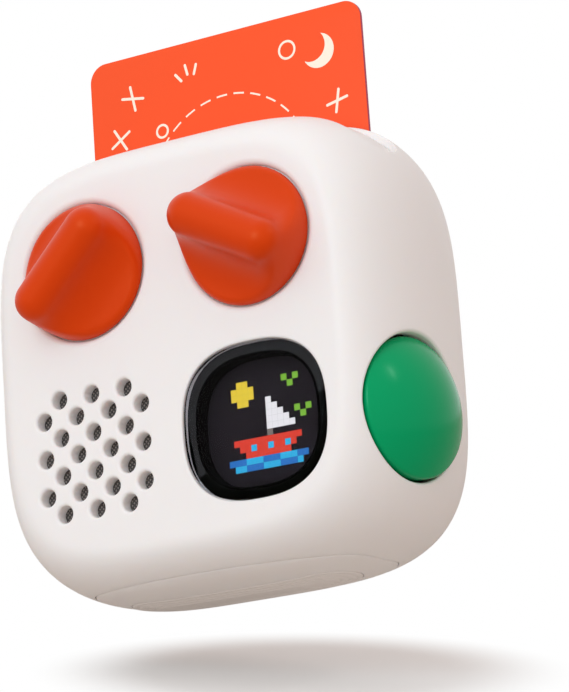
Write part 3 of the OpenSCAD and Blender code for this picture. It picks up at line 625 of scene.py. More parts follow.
def makeBaseCover():
    gap, rim = coverParts["gap"], coverParts["rim"]
    cover = bodyForm("baseCoverPlate", 0, 40, 45, (36, -84, 20))
    hollowOut(cover, body["wall"])
    follow = bodyAlong(basePlace, 0, 12)
    levels = [(-gap, -1.0)]
    for t in (math.radians(a) for a in steps(90, 12, 5)):
        levels.append((-gap - rim * (1 - math.sin(t)), below(follow, rim * (1 - math.cos(t)))))
    last = levels[-1][0] - 0.6
    levels += [(last, below(follow, -0.15)), (last, 10.5)]
    carve(cover, ringPiece("keep", baseOutline, levels, count=140, place=basePlace), how="INTERSECT")
    carve(cover, ringPiece("seat", footOutline, [(gap, -coverParts["footSeat"]), (gap, 0.0), (gap, 3)], count=120,
                           place=footPlace))
    tidyMesh(cover)
    settle(cover, None, 38)
    finishPiece(cover, shellPlastic, "player", "shell", "base_cover")


def makeFoot():
    # a pad that follows the cover a little proud, flat where it stands, with shallow grooves round it
    c = coverParts
    skin, edge = bodyAlong(footPlace, -6, 2), c["footEdge"]

    def follow(x, y):
        return min(c["footRise"], skin(x, y) + c["footProud"])
    levels = [(0, -c["footSeat"]), (0, below(follow, edge))]
    levels += [(grow, below(follow, -height)) for grow, height in roundOver(edge)]
    for k in range(c["grooves"]):
        levels += [(-grow - c["groovePitch"] * k, below(follow, drop)) for grow, drop in c["groove"]]
    foot = ringPiece("footPad", footOutline, levels, count=160, place=footPlace)
    finishPiece(foot, softRubber, "player", "rubber", "foot_pad")


def makeSlotTrim():
    c, s = coverParts, shellParts
    halfX, halfY = s["troughHalf"]

    def lean(co):
        # deepest beside the card
        co.z -= c["troughLean"] * (co.y - (s["troughY"] + halfY) * mm)
    trim = bodyForm("slotTrough", c["troughDeep"], 48, 45, (36, -84, 20), lean)
    hollowOut(trim, c["troughWall"])
    outline = roundedBox(halfX - c["troughGap"], halfY - c["troughGap"], s["troughCorner"])
    carve(trim, ringPiece("keep", outline, [(0, 0), (0, 16)], count=160,
                          place=facing(0, s["troughY"], s["overZ"], "top")), how="INTERSECT")
    tidyMesh(trim)
    settle(trim, None, 38)
    finishPiece(trim, trimPlastic, "player", "trim", "slot_trim")


makeBaseCover()
makeFoot()
makeSlotTrim()
print("base, foot and trough made")

# knobs: a low disc that sweeps up into a round finger bar; heights over the knob's back
knobParts = dict(r=11.3, back=-18.3, edge=1.2, top=1.5, crown=3.65, crownAt=6.75, flank=80, sweep=7.1,
                 barHalf=7.15, fadeFrom=10.5, fade=0.8, leftTurn=44.5, rightTurn=-28.0, recess=(6.5, 1.9),
                 rows=((0.25, 9), (0.42, 16), (0.894, 13), (1.0, 10)),
                 columns=((0.6, 12), (0.8, 8), (0.894, 14), (1.0, 14)))


def bandLines(bands):
    # grid lines from the middle to the rim; the last band crowds towards the rim
    lines, start = [0.0], 0.0
    for number, (end, count) in enumerate(bands):
        for i in range(1, count + 1):
            f = i / count
            if number == len(bands) - 1:
                f = math.sin(f * math.pi / 2)
            lines.append(start + (end - start) * f)
        start = end
    return [-v for v in reversed(lines[1:])] + lines


def barRise(out):
    # section across the bar: round crown, steep flank, wide hollow sweep down to the disc
    k = knobParts
    turn = math.radians(k["flank"])
    flankOut = k["crown"] * math.sin(turn)
    sweepOut = flankOut + k["sweep"] * math.sin(turn)
    if out <= flankOut:
        return k["crownAt"] + math.sqrt(k["crown"] ** 2 - out ** 2)
    if out >= sweepOut:
        return k["top"]
    low = k["crownAt"] + k["crown"] * math.cos(turn) - k["sweep"] * (1 - math.cos(turn))
    rise = low + k["sweep"] - math.sqrt(k["sweep"] ** 2 - (sweepOut - out) ** 2)
    return rise + (k["top"] - low) * (out - flankOut) / (sweepOut - flankOut)


def knobRise(x, y):
    k = knobParts
    r = min(math.hypot(x, y), k["r"])
    inner = k["r"] - k["edge"]
    base = k["top"]
    if r > inner:
        base += math.sqrt(max(k["edge"] ** 2 - (r - inner) ** 2, 0)) - k["edge"]
    bar = barRise(math.hypot(max(abs(x) - k["barHalf"], 0), y)) - k["top"]
    fade = min(max((r - k["fadeFrom"]) / k["fade"], 0), 1)
    return base + bar * math.sqrt(1 - fade ** 2)


def makeKnob(name, side, angle, node, rides):
    k, s = knobParts, shellParts
    rows, columns = bandLines(k["rows"]), bandLines(k["columns"])
    bpy.ops.mesh.primitive_grid_add(x_subdivisions=len(columns) - 1, y_subdivisions=len(rows) - 1, size=2)
    knob = startEdit(name)
    mesh = bmesh.from_edit_mesh(knob.data)
    for v in mesh.verts:
        a = columns[round((v.co.x + 1) / 2 * (len(columns) - 1))]
        b = rows[round((v.co.y + 1) / 2 * (len(rows) - 1))]
        x, y = k["r"] * a * math.sqrt(1 - b * b / 2), k["r"] * b * math.sqrt(1 - a * a / 2)
        v.co = (x * mm, y * mm, knobRise(x, y) * mm)
    bmesh.update_edit_mesh(knob.data)
    pickRims()
    recessR, recessDeep = k["recess"]

    def pull(co, height, r):
        share = r * mm / math.hypot(co.x, co.y)
        return co.x * share, co.y * share, height * mm
    drawOut(knob, ((0.25, k["r"]), (0.08, k["r"] - 0.08), (0.0, k["r"] - 0.25), (0.0, recessR + 0.2),
                   (0.2, recessR), (recessDeep, recessR), (recessDeep, recessR - 2)), pull)
    place = facing(side * s["knobX"], k["back"], s["knobZ"], "front")
    settle(knob, place @ Matrix.Rotation(math.radians(angle), 4, "Z"), 50)
    finishPiece(knob, knobPlastic, rides, "knob", node)


makeKnob("leftKnobDial", -1, knobParts["leftTurn"], "left_knob", "left_dial")
makeKnob("rightKnobDial", 1, knobParts["rightTurn"], "right_knob", "right_dial")
print("knobs made")

# play button: a smooth dome with a small round over its skirt
playParts = dict(r=11.45, dome=3.9, edge=0.9, skirt=2.6, stemR=2.5, stem=7.15, domeRings=30)


def makePlayButton():
    p = playParts
    r, dome, edge, skirt, stem = p["r"], p["dome"], p["edge"], p["skirt"], p["stem"]
    ball = (r ** 2 + dome ** 2) / (2 * dome)
    edgeR = r - edge
    edgeUp = math.sqrt((ball - edge) ** 2 - edgeR ** 2) - (ball - dome)
    join = math.atan2(edgeUp + ball - dome, edgeR)
    low = math.asin(edgeR / (ball - edge))
    levels = [(-1.2, -skirt), (-0.1, -skirt), (0, 0.1 - skirt), (0, -0.9)]
    levels += [(-edge + edge * math.cos(a), edgeUp + edge * math.sin(a)) for a in steps(0, join, 7)]
    for a in (low * (1 - i / p["domeRings"]) for i in range(1, p["domeRings"])):
        levels.append((ball * math.sin(a) - r, ball * math.cos(a) - (ball - dome)))
    levels.append((-r + 0.001, dome))
    cap = ringPiece("playButtonCap", disc(r), levels, count=128, place=buttonPlace(), point=True, smooth=50)
    finishPiece(cap, playPlastic, "play_key", "play", "play_button")
    levels = [(-0.4, -stem), (-0.1, 0.1 - stem), (0, 0.4 - stem), (0, -1.2)]
    post = ringPiece("playButtonStem", disc(p["stemR"]), levels, count=40, place=buttonPlace())
    finishPiece(post, playPlastic, "play_key", "play")


makePlayButton()
print("play button made")

# window, the dark frame behind it, and the pixel screen
windowParts = dict(lensEdge=0.9, lensUp=0.5, lensFront=0.1, lensBack=-1.4, screenY=-14.78, wellDeep=4.2,
                   panelHalf=(11.75, 11.2), pixel=1.04, tilesAcross=16, tileUp=0.03)
pixelRows = ("................",
             "...YY......G.G..",
             "..YYYY......G...",
             "..YYYY..........",
             "...YY...W.......",
             "........WW......",
             "........WWW..G.G",
             "........WWWW..G.",
             "........WWWWW...",
             "........K.......",
             "..RRRRRRRRRRRR..",
             "...RRCRRCRRCR...",
             "....RRRRRRRR....",
             ".BBBCCCBBBCCCBB.",
             "..CCBBBCCCBBBC..",
             "................")
pixelInk = dict(Y=(232, 205, 50), G=(122, 186, 46), W=(236, 236, 236), K=(120, 112, 106), R=(222, 54, 28),
                C=(34, 176, 224), B=(20, 110, 190))


def makeLens():
    w = windowParts
    front, back = w["lensFront"], w["lensBack"]
    levels = [(-0.25, back), (-0.15, back + 0.1)]
    levels += roundOver(w["lensEdge"], first=0, parts=9, grow=-0.15, top=front, up=w["lensUp"])
    lens = ringPiece("displayLens", windowOutline, levels + [(-2.0, front), (-4.0, front)], count=144,
                     place=windowPlace, smooth=30)
    material, tree, shader, place = startMaterial("smokedLens")
    group = useGroup(tree, mouldedGrain, place, Color=(0.72, 0.71, 0.74), Deep_Color=(0.66, 0.65, 0.68),
                     Grain_Size=300.0, Roughness=0.03, Rub=0.02)
    plug(tree, shader, Base_Color=group["Color"], Roughness=group["Roughness"], Transmission_Weight=1.0, IOR=1.1)
    finishPiece(lens, material, "player", "window", "display_window")


def makeMask():
    # black print on the lens's back, from its edge to the well, and the well's dark wall
    s, back, deep = shellParts, windowParts["lensBack"], -windowParts["wellDeep"]
    inner = s["wellHalf"][0] - s["windowHalf"][0]
    levels = [(-0.3, back - 0.01), (-0.3, back - 0.09), (inner - 0.02, back - 0.09), (inner - 0.02, deep),
              (inner - 0.5, deep), (inner - 0.5, back - 0.06), (inner - 0.42, back - 0.01)]
    mask = ringPiece("displayMask", windowOutline, levels, count=120, smooth=30)
    openMiddle(mask)
    settle(mask, windowPlace, 30)
    finishPiece(mask, maskBlack, "player", "window")


def makeScreen():
    s, w = shellParts, windowParts
    levels = [(-0.2, -1.6), (0, -1.5), (0, -0.12), (-0.12, 0.0), (-2, 0.0)]
    panel = ringPiece("displayPanelFace", squircle(*w["panelHalf"], s["windowPower"]), levels, count=96,
                      place=facing(s["windowX"], w["screenY"], s["windowZ"], "front"))
    finishPiece(panel, screenBlack, "player", "screen", "display_panel")
    # lit squares: a grid whose unlit squares are taken away
    count, size = w["tilesAcross"], w["pixel"]
    bpy.ops.mesh.primitive_grid_add(x_subdivisions=count, y_subdivisions=count, size=count * size * mm)
    tiles = bpy.context.object
    tiles.name = "displayPixels"
    ink = tiles.data.color_attributes.new("pixelInk", "FLOAT_COLOR", "CORNER")

    def letterAt(spot):
        return pixelRows[int(count / 2 - spot.y / mm / size)][int(spot.x / mm / size + count / 2)]
    for face in tiles.data.polygons:
        color = pixelInk.get(letterAt(face.center))
        for corner in face.loop_indices if color else ():
            ink.data[corner].color = (*srgb(*color), 1)
    dropFaces(tiles, lambda face: letterAt(face.calc_center_median()) == ".", "FACE")
    bpy.ops.object.mode_set(mode="OBJECT")
    useModifier(tiles, "SOLIDIFY", thickness=w["tileUp"] * mm, offset=1.0)
    settle(tiles, facing(s["windowX"], w["screenY"] - 0.01, s["windowZ"], "front"), None)
    finishPiece(tiles, pixelGlow, "player", "screen")


def buildPixelGlow():
    # each square in its own ink, with faint seams between them
    material, tree, shader, place = startMaterial("pixelGlow")
    calc, s, size = partial(mathNode, tree), shellParts, windowParts["pixel"]
    ink = addNode(tree, "Attribute", attribute_name="pixelInk", attribute_type="GEOMETRY")["Color"]
    spread = addNode(tree, "Mapping", place, Scale=(1 / (size * mm),) * 3,
                     Location=(-s["windowX"] / size, 0, -(s["windowZ"] + middle) / size))[0]
    parts = addNode(tree, "SeparateXYZ", spread)
    seam = 0.0
    for axis in ("X", "Z"):
        away = calc("ABSOLUTE", calc("SUBTRACT", calc("FRACT", calc("ADD", parts[axis], 64.0)), 0.5))
        seam = calc("MAXIMUM", calc("GREATER_THAN", away, 0.475), seam)
    shade = mixColors(tree, calc("MULTIPLY", seam, 0.22), ink, (0.01, 0.01, 0.01))
    plug(tree, shader, Emission_Color=shade, Emission_Strength=1.15, Roughness=0.4,
         Base_Color=mixColors(tree, 0.75, shade, (0.01, 0.01, 0.01)))
    return material


maskBlack = moulded("maskBlack", (3, 2, 3), (2, 1, 2), rough=0.7, specular=0.0, grain=0.02)
screenBlack = moulded("screenBlack", (50, 44, 49), (42, 37, 41), rough=0.6, specular=0.05, grain=0.02)
pixelGlow = buildPixelGlow()
makeLens()
makeMask()
makeScreen()
print("window and screen made")

# card: one sheet with rounded corners, a printed face and a coloured core that shows at its edge
cardParts = dict(width=54.0, length=85.6, thick=0.76, corner=3.2, y=4.1, top=58.9, edgeSoft=0.1, strokeHalf=0.24)
# print, in mm from the middle of the card's top edge, sideways and down: strokes, rings, discs
cardStrokes = [((-20.6, 7.2), (-16.4, 7.9)), ((-18.9, 5.4), (-18.1, 9.7)),
               ((-23.2, 15.5), (-19.6, 13.2)), ((-22.6, 12.5), (-20.3, 16.2)),
               ((19.6, 17.2), (23.4, 16.4)), ((21.9, 14.9), (21.2, 18.7)),
               ((-9.6, 5.3), (-8.5, 6.6)), ((-7.6, 4.0), (-7.2, 5.7)), ((-5.4, 4.3), (-5.9, 5.9))]
# middle, radius, half width, dashes and the share of each that is inked
cardRings = [((0.0, 27.0), 16.0, 0.15, 30, 0.62), ((12.6, 5.9), 1.5, 0.2, 1, 1.0), ((-12.9, 14.6), 1.1, 0.2, 1, 1.0)]
cardMoons = [((18.6, 7.4), 3.0, (17.2, 6.3), 2.75), ((-24.0, 21.4), 1.9, (-23.0, 20.8), 1.75)]
cardHill = ((1.5, 27.5), 7.0)


def buildInkStroke():
    # 1 on a line between two places, with round ends
    group, given, result, calc = startGroup("inkStroke", "Mask", Place=(0, 0, 0), Start=(0, 0, 0), End=(1, 0, 0),
                                            Half_Width=0.25, Soft=0.04)
    vector = partial(vectorNode, group)
    away = vector("SUBTRACT", given["Place"], given["Start"])[0]
    line = vector("SUBTRACT", given["End"], given["Start"])[0]
    share = calc("DIVIDE", vector("DOT_PRODUCT", away, line)["Value"], vector("DOT_PRODUCT", line, line)["Value"])
    share = calc("MINIMUM", calc("MAXIMUM", share, 0.0), 1.0)
    gap = vector("DISTANCE", away, vector("SCALE", line, Scale=share)[0])["Value"]
    plug(group, result, calc("MULTIPLY_ADD", calc("SUBTRACT", given["Half Width"], gap),
                             calc("DIVIDE", 1.0, given["Soft"]), 0.5, use_clamp=True))
    return group


def buildInkRing():
    # 1 on a ring that may be broken into dashes; a half width as large as the radius fills it
    group, given, result, calc = startGroup("inkRing", "Mask", Place=(0, 0, 0), Centre=(0, 0, 0), Radius=2.0,
                                            Half_Width=0.2, Dashes=1.0, Dash_Share=1.0, Soft=0.04)
    away = vectorNode(group, "SUBTRACT", given["Place"], given["Centre"])[0]
    size = vectorNode(group, "LENGTH", away)["Value"]
    gap = calc("ABSOLUTE", calc("SUBTRACT", size, given["Radius"]))
    line = calc("MULTIPLY_ADD", calc("SUBTRACT", given["Half Width"], gap), calc("DIVIDE", 1.0, given["Soft"]), 0.5,
                use_clamp=True)
    parts = addNode(group, "SeparateXYZ", away)
    turn = calc("DIVIDE", calc("ARCTAN2", parts["Y"], parts["X"]), math.tau)
    dash = calc("FRACT", calc("MULTIPLY", calc("ADD", turn, 1.0), given["Dashes"]))
    inked = calc("LESS_THAN", dash, given["Dash Share"])
    whole = calc("GREATER_THAN", given["Dash Share"], 0.99)
    plug(group, result, calc("MULTIPLY", line, calc("MAXIMUM", inked, whole)))
    return group


def buildCardPrint():
    material, tree, shader, place = startMaterial("cardPrint")
    inkStroke, inkRing, calc = buildInkStroke(), buildInkRing(), partial(mathNode, tree)
    # millimetres over the card's face, sideways and down from the middle of its top edge
    spread = addNode(tree, "Mapping", place, Scale=(1000, 1000, -1000),
                     Location=(0, 0, cardParts["top"] + middle))[0]
    apart = addNode(tree, "SeparateXYZ", spread)
    flat = addNode(tree, "CombineXYZ", apart["X"], apart["Z"])[0]

    def stroke(start, end):
        return useGroup(tree, inkStroke, flat, Start=(*start, 0), End=(*end, 0),
                        Half_Width=cardParts["strokeHalf"])["Mask"]

    def ring(spot, r, half, dashes=1, share=1.0):
        return useGroup(tree, inkRing, flat, Centre=(*spot, 0), Radius=r, Half_Width=half, Dashes=dashes,
                        Dash_Share=share)["Mask"]

    def full(spot, r):
        return ring(spot, r / 2, r / 2)
    lines = [stroke(*ends) for ends in cardStrokes] + [ring(*parts) for parts in cardRings]
    for spot, r, cutSpot, cutR in cardMoons:
        lines.append(calc("MULTIPLY", full(spot, r), calc("SUBTRACT", 1.0, full(cutSpot, cutR))))
    ink = lines[0]
    for line in lines[1:]:
        ink = calc("MAXIMUM", ink, line)
    ground = useGroup(tree, mouldedGrain, place, Color=srgb(255, 92, 50), Deep_Color=srgb(253, 88, 47),
                      Grain_Size=5200.0, Roughness=0.4, Rub=0.05)
    base = mixColors(tree, full(*cardHill), ground["Color"], srgb(255, 205, 184))
    raised = calc("MULTIPLY_ADD", ground["Height"], 0.1, ink)
    plug(tree, shader, Base_Color=mixColors(tree, ink, base, srgb(255, 244, 226)), Specular_IOR_Level=0.06,
         Roughness=calc("MULTIPLY_ADD", ink, -0.04, ground["Roughness"]), Normal=bump(tree, raised, 0.1, 0.00002))
    return material


def makeCard():
    c = cardParts
    bpy.ops.mesh.primitive_plane_add(size=1)
    card = startEdit("storyCardSheet")
    bpy.ops.transform.resize(value=(c["width"] * mm, c["length"] * mm, 1))
    bpy.ops.mesh.bevel(offset=c["corner"] * mm, segments=10, affect="VERTICES")
    bpy.ops.mesh.select_all(action="SELECT")
    bpy.ops.mesh.extrude_region_move(TRANSFORM_OT_translate={"value": (0, 0, c["thick"] * mm)})
    endEdit()
    useModifier(card, "BEVEL", width=c["edgeSoft"] * mm, segments=2, limit_method="ANGLE",
                angle_limit=math.radians(50))
    settle(card, facing(0, c["y"] + c["thick"] / 2, c["top"] - c["length"] / 2, "front"), 40)
    finishPiece(card, cardPrint, "card", "card", "story_card")
    card.data.materials.append(cardCore)
    for face in card.data.polygons:
        face.material_index = 1 if abs(face.normal.y) < 0.3 else 0


cardPrint = buildCardPrint()
cardCore = moulded("cardCore", (176, 40, 84), (150, 28, 76), rough=0.5, grain=0.3, size=3400.0)
makeCard()
print("card made")

# grille cloth: a tight woven disc, bowed a little between the holes
clothParts = dict(r=13.2, y=-16.58, thick=0.24, bow=0.05, thread=0.37)


def buildWeave():
    # threads that pass over and under each other, in two directions, with shade painted into the dips between them
    group, given, result, calc = startGroup(
        "wovenThreads", "Color Height", Place=(0, 0, 0), Thread_Size=0.4, Light_Color=(0.2, 0.2, 0.2, 1),
        Dark_Color=(0.02, 0.02, 0.02, 1), Fuzz=0.4)
    wander = addNode(group, "TexNoise", given["Place"], Scale=900.0, Detail=2.0)[0]
    parts = addNode(group, "SeparateXYZ", given["Place"])
    drift = calc("SUBTRACT", wander, 0.5)
    sway = calc("MULTIPLY", drift, 0.00022)
    size = calc("MULTIPLY", given["Thread Size"], mm)
    across, along = (calc("DIVIDE", calc("ADD", parts[axis], sway), size) for axis in "XZ")
    far = 256.0  # keeps the counts above 0

    def ridge(value):
        # round back of a thread, 0 between two threads
        return calc("SINE", calc("MULTIPLY", calc("FRACT", calc("ADD", value, far)), math.pi))
    warp, weft = ridge(across), ridge(along)
    cell = calc("ADD", *[calc("FLOOR", calc("ADD", value, far)) for value in (across, along)])
    over = calc("GREATER_THAN", calc("FRACT", calc("MULTIPLY", cell, 0.5)), 0.25)
    top = calc("ADD", calc("MULTIPLY", over, warp), calc("MULTIPLY", calc("SUBTRACT", 1.0, over), weft))
    height = calc("MULTIPLY", top, calc("POWER", calc("MULTIPLY", warp, weft), 0.35))
    # painted shade: the colour follows each thread's round back, light on its crest and dark in the dips between
    # threads; cells with the warp on top come out lighter than cells with the weft on top
    paintedThreadShade = calc("ADD", calc("MULTIPLY", height, calc("MULTIPLY_ADD", over, 0.95, 0.3)),
                calc("MULTIPLY", drift, given["Fuzz"]), use_clamp=True)
    plug(group, result, mixColors(group, paintedThreadShade, given["Dark Color"], given["Light Color"]), height)
    return group


def buildGrilleCloth():
    material, tree, shader, place = startMaterial("grilleWeave")
    # the light colour is for the thread crests, the dark one for the painted shade in the dips between threads
    weave = useGroup(tree, buildWeave(), place, Thread_Size=clothParts["thread"], Fuzz=0.5,
                     Light_Color=srgb(150, 138, 132), Dark_Color=srgb(9, 8, 9))
    plug(tree, shader, Base_Color=weave["Color"], Roughness=0.75, Sheen_Weight=0.25,
         Normal=bump(tree, weave["Height"], 0.7, 0.00012))
    return material


def makeCloth():
    c, s = clothParts, shellParts

    def bowed(x, y):
        return c["bow"] * (math.cos(x / s["pitch"] * math.tau) * math.cos(y / s["pitch"] * math.tau) - 1)
    levels = [(0, -c["thick"]), (0, -0.05), (-0.05, 0.0)] + [(-c["r"] * f, bowed) for f in steps(0.05, 0.96, 22)]
    cloth = ringPiece("grilleCloth", disc(c["r"]), levels, place=facing(s["grilleX"], c["y"], s["grilleZ"], "front"))
    finishPiece(cloth, grilleWeave, "player", "cloth", "grille_cloth")


grilleWeave = buildGrilleCloth()
makeCloth()
print("cloth made")

# back: cover, screws, port, jack and power button
backParts = dict(face=18.9, screws=((-21, 23.5), (21, 23.5), (-21, -23.5), (21, -23.5)), headR=1.9, headDeep=1.3,
                 headEdge=0.35, headTurn=20, shankR=0.95, shank=3.6, power=(-14.5, 14.5), powerR=3.5, powerUp=0.5,
                 powerEdge=0.5, jackX=0.0, jackHole=3.7, contactR=1.8, portX=13.0, portZ=8.0, portHole=(4.9, 2, 2),
                 portFace=18.6)


def evenShading(piece):
    # lets the wide flat faces set the normals, so that no wedge of shade runs in from a hole
    pickOnly(piece)
    bpy.ops.object.modifier_add(type="WEIGHTED_NORMAL")
    piece.modifiers[-1].keep_sharp = True
    bpy.ops.object.modifier_apply(modifier=piece.modifiers[-1].name)


def makeBack():
    b, half = backParts, shellParts["rearHalf"]
    levels = [(-0.15, -2.1), (-0.15, -0.35), (-0.22, -0.14), (-0.38, -0.02), (-0.55, 0.0), (-1.5, 0.0)]
    cover = ringPiece("rearCoverPlate", squircle(half, half, shellParts["rearPower"]), levels, count=160,
                      place=facing(0, b["face"], 0, "back"))

    def softHole(outline, deep, count, x, z):
        # hole with a small rounded mouth
        mouth = [(0, -deep), (0, -0.3), (0.09, -0.12), (0.3, 0.02), (0.8, 1)]
        return ringPiece("holeTool", outline, mouth, count=count, place=facing(x, b["face"], z, "back"))
    tools = [softHole(disc(b["headR"] + 0.2), b["headDeep"], 40, *spot) for spot in b["screws"]]
    for outline, count, spot in ((disc(b["powerR"] + 0.3), 64, b["power"]),
                                 (disc(b["jackHole"]), 64, (b["jackX"], b["portZ"])),
                                 (roundedBox(*b["portHole"]), 72, (b["portX"], b["portZ"]))):
        tools.append(softHole(outline, 3.5, count, *spot))
    carve(cover, *tools)
    tidyMesh(cover)
    settle(cover, None, 35)
    evenShading(cover)
    finishPiece(cover, trimPlastic, "player", "trim", "rear_cover")


def crossHead(name, x, z):
    # pan head with a cross recess, on its plain shank
    b = backParts
    r, deep = b["headR"], b["headDeep"] - 0.05
    levels = [(b["shankR"] - r, -deep - b["shank"]), (b["shankR"] - r, -deep), (0, -deep), (0, -b["headEdge"])]
    head = ringPiece(name, disc(r), levels + roundOver(b["headEdge"]) + [(-r * 0.6, 0.02)], count=48)
    arms = []
    for turn in (0, 90):
        arm = ringPiece("armTool", roundedBox(1.15, 0.3, 0.12), [(-0.28, -0.95), (0, -0.1), (0.06, 0.3)], count=32)
        arms.append(settle(arm, Matrix.Rotation(math.radians(turn + b["headTurn"]), 4, "Z"), None))
    for arm in arms:
        carve(head, arm)
    tidyMesh(head)
    return settle(head, facing(x, b["face"] - 0.05, z, "back"), 30)


def makeScrews():
    screws = joined([crossHead("rearScrew%d" % k, *spot) for k, spot in enumerate(backParts["screws"])])
    screws.name = "rearCoverScrews"
    finishPiece(screws, steelPlate, "player", "steel", "rear_cover_screws")


def nodeObject(node):
    found = frame["nodes"][node]
    return bpy.data.objects[found] if isinstance(found, str) else found


def makeSockets():
    b = backParts
    x, z = b["power"]
    up, edge = b["powerUp"], b["powerEdge"]
    levels = [(1.2, -3.2), (1.2, -1.9), (0, -1.9), (0, up - edge)] + roundOver(edge, first=12, parts=6, top=up)
    levels += [(-1.3, up), (-1.7, up - 0.05), (-2.1, up - 0.16), (-2.9, up - 0.22)]
    power = ringPiece("powerButtonCap", disc(b["powerR"]), levels, count=72, place=facing(x, b["face"], z, "back"))
    finishPiece(power, trimPlastic, "power_key", "trim", "power_button")
    for node, name, material, width in (("charging_port", "chargingSocket", steelPlate, 0.12),
                                        ("headphone_jack", "headphoneSocket", darkPlastic, 0.25)):
        piece = copyOf(nodeObject(node), name)
        tidyMesh(piece)
        useModifier(piece, "BEVEL", width=width * mm, segments=3, limit_method="ANGLE",
                    angle_limit=math.radians(60), use_clamp_overlap=True)
        settle(piece, None, 40)
        finishPiece(piece, material, "player", slotOf[node], node)
    # sprung metal ring inside the jack
    levels = [(-0.02, -3.2), (-0.02, -1.2), (-0.22, -1.0), (-0.22, -3.0), (-0.1, -3.2)]
    ring = ringPiece("jackContact", disc(b["contactR"]), levels, count=40)
    openMiddle(ring)
    settle(ring, facing(b["jackX"], b["portFace"], b["portZ"], "back"), 30)
    finishPiece(ring, steelPlate, "player", "steel")


slotOf = {part["node"]: part["material_slot"] for part in frame["record"]["subparts"]}
makeBack()
makeScrews()
makeSockets()
print("back made")


def buildSolderMask():
    # green mask over fine tracks, with tinned pads
    material, tree, shader, place = startMaterial("solderMask")
    calc = partial(mathNode, tree)
    grain = useGroup(tree, mouldedGrain, place, Color=srgb(22, 104, 66), Deep_Color=srgb(14, 84, 52),
                     Grain_Size=1500.0, Roughness=0.35)
    spread = addNode(tree, "Mapping", place, Rotation=(math.radians(90), 0, 0))[0]
    tracks = addNode(tree, "TexBrick", spread, Scale=150.0, Mortar_Size=0.035, Color1=(0, 0, 0),
                     Color2=(0, 0, 0), Mortar=(1, 1, 1))["Fac"]
    dots = addNode(tree, "TexVoronoi", spread, Scale=420.0, Randomness=0.6)["Distance"]
    pad = calc("LESS_THAN", dots, 0.16)
    color = mixColors(tree, calc("MULTIPLY", tracks, 0.5), grain["Color"], srgb(60, 150, 96))
    plug(tree, shader, Base_Color=mixColors(tree, pad, color, (0.7, 0.66, 0.5)), Metallic=calc("MULTIPLY", pad, 0.9),
         Roughness=grain["Roughness"], Normal=bump(tree, calc("ADD", tracks, pad), 0.2, 0.00003))
    return material


finishOf = dict(shell=shellPlastic, trim=trimPlastic, knob=knobPlastic, play=playPlastic, card=cardPrint,
                dark=darkPlastic, inner=innerPlastic, cream=creamPlastic, rubber=softRubber, foam=blackFoam,
                paper=conePaper, wire=redWire, steel=steelPlate, zinc=castZinc, copper=copperTrack,
                cell=foilPouch, magnet=platedMagnet, window=darkPlastic, screen=screenBlack,
                board=buildSolderMask(), cloth=grilleWeave)
for node in frame["nodes"]:
    dress(nodeObject(node), finishOf[slotOf[node]])
print("inner parts dressed")

# studio, in mm; a lamp stands along the camera's right, up and back, then distance, width, height, power, colour
studio = dict(azimuth=30.26, elevation=-13.54, roll=-3.98, away=552.0, shiftX=8.73, shiftY=3.45, lens=174.5,
              key=((-0.45, 0.42, 0.79), 620, 260, 260, 1.12, (0.68, 0.89, 1.0)),
              side=((0.633, 0.7, 0.332), 560, 26, 110, 0.14, (1.0, 0.98, 0.965)),
              rear=((-0.2, 0.08, -0.98), 620, 260, 260, 0.5, (1.0, 0.95, 0.92)),
              sky=(-0.25, 0.80, 0.55), skyLow=0.03, skyHigh=1.0, skyLowColor=(1.0, 0.87, 0.83),
              skyHighColor=(1.0, 0.93, 0.90), floorDrop=50.3, floorTilt=3.4, floorHalf=1400.0, floorLift=0.04,
              floorFade=(24.0, 46.0), fadeShift=12.0, floorSheet=(0.86, 0.855, 0.85),
              floorBounce=(0.64, 0.59, 0.54), white=(1, 1, 1))


def lookFrom(azimuth, elevation, roll):
    az, el, ro = (math.radians(v) for v in (azimuth, elevation, roll))
    back = Vector((math.sin(az) * math.cos(el), -math.cos(az) * math.cos(el), math.sin(el)))
    side = (-back).cross(Vector((0, 0, 1))).normalized()
    up = side.cross(-back)
    return side * math.cos(ro) + up * math.sin(ro), up * math.cos(ro) - side * math.sin(ro), back


right, rise, back = lookFrom(studio["azimuth"], studio["elevation"], studio["roll"])
centre = Vector((0, 0, middle))


def toward(x, y, z):
    return (right * x + rise * y + back * z).normalized()


def addThing(name, data):
    thing = bpy.data.objects.new(name, data)
    bpy.context.collection.objects.link(thing)
    return thing


def addCamera():
    data = bpy.data.cameras.new("photoCamera")
    camera = addThing("photoCamera", data)
    spot = centre + back * studio["away"] + right * studio["shiftX"] + rise * studio["shiftY"]
    camera.matrix_world = turned(spot * mm, right, rise, back)
    data.lens = studio["lens"]
    data.sensor_width = 36
    data.sensor_fit = "AUTO"
    data.clip_start = 0.01
    bpy.context.scene.camera = camera


def addLamp(name, direction, distance, width, height, power, color):
    data = bpy.data.lights.new(name, "AREA")
    data.shape = "ELLIPSE"
    data.size = width * mm
    data.size_y = height * mm
    data.energy = power
    data.color = color
    lamp = addThing(name, data)
    lamp.location = (centre + toward(*direction) * distance) * mm
    lamp.rotation_euler = (centre * mm - lamp.location).to_track_quat("-Z", "Y").to_euler()


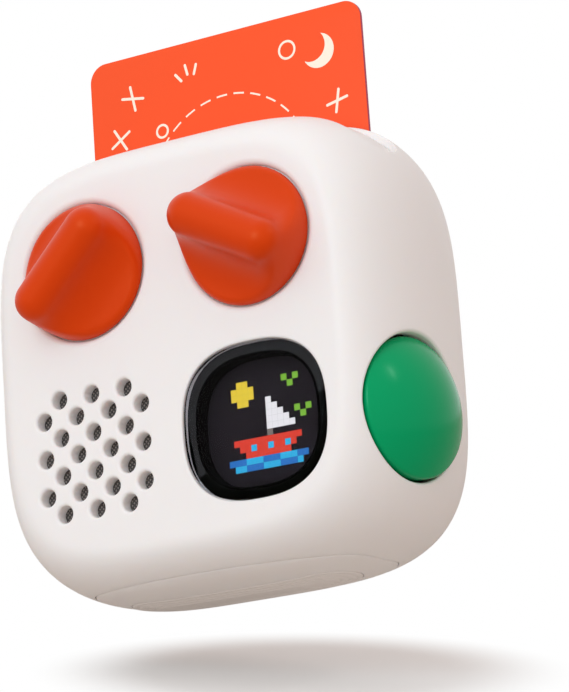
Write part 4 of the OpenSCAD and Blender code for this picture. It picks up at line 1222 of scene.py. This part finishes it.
def addFloor():
    # pale sheet under the object, as the photograph's shadow shows it; seen from above only
    tilt = math.radians(studio["floorTilt"])
    normal = rise * math.cos(tilt) + back * math.sin(tilt)
    spot = centre - normal * studio["floorDrop"]
    bpy.ops.mesh.primitive_plane_add(size=2 * studio["floorHalf"] * mm)
    floor = bpy.context.object
    floor.name = "paleFloor"
    along = normal.cross(right).normalized()
    floor.matrix_world = turned(spot * mm, along.cross(normal), along, normal)
    bpy.ops.object.transform_apply(location=True, rotation=True, scale=True)
    material = bpy.data.materials.new("paleSheet")
    material.use_nodes = True
    tree = material.node_tree
    tree.nodes.clear()
    matte = addNode(tree, "BsdfDiffuse", studio["floorSheet"])[0]
    bounce = addNode(tree, "BsdfDiffuse", studio["floorBounce"])[0]
    glow = addNode(tree, "Emission", studio["white"], studio["floorLift"])[0]
    white = addNode(tree, "Emission", studio["white"], 1.0)[0]
    clear = addNode(tree, "BsdfTransparent")[0]
    away = vectorNode(tree, "DISTANCE", addNode(tree, "TexCoord")["Object"],
                      (spot + right * studio["fadeShift"]) * mm)["Value"]
    near, far = studio["floorFade"]
    faded = addNode(tree, "MapRange", interpolation_type="SMOOTHSTEP", Value=away, From_Min=near * mm,
                    From_Max=far * mm)["Result"]
    sheet = addNode(tree, "MixShader", faded, addNode(tree, "AddShader", matte, glow)[0], white)[0]
    sheet = addNode(tree, "MixShader", addNode(tree, "LightPath")["Is Camera Ray"], bounce, sheet)[0]
    sheet = addNode(tree, "MixShader", addNode(tree, "NewGeometry")["Backfacing"], sheet, clear)[0]
    addNode(tree, "OutputMaterial", sheet)
    floor.data.materials.append(material)


def fillAir():
    # white where it is seen or mirrored, a weaker and warmer light on the object
    world = bpy.data.worlds.new("studioAir")
    bpy.context.scene.world = world
    world.use_nodes = True
    tree = world.node_tree
    tree.nodes.clear()
    calc, rays = partial(mathNode, tree), addNode(tree, "LightPath")
    seen = calc("MAXIMUM", rays["Is Camera Ray"], rays["Is Glossy Ray"])
    seen = calc("MAXIMUM", seen, rays["Is Transmission Ray"])
    lean = vectorNode(tree, "DOT_PRODUCT", addNode(tree, "TexCoord")["Generated"], toward(*studio["sky"]))["Value"]
    share = calc("MULTIPLY_ADD", lean, 0.5, 0.5)
    low, high = studio["skyLow"], studio["skyHigh"]
    air = addNode(tree, "Background", mixColors(tree, share, studio["skyLowColor"], studio["skyHighColor"]),
                  calc("MULTIPLY_ADD", share, high - low, low))[0]
    white = addNode(tree, "Background", studio["white"], 1.0)[0]
    addNode(tree, "OutputWorld", addNode(tree, "MixShader", seen, air, white)[0])


addCamera()
for lampName in ("key", "side", "rear"):
    addLamp(lampName + "Lamp", *studio[lampName])
addFloor()
fillAir()
bpy.context.scene.view_settings.view_transform = "Standard"
print("studio set")
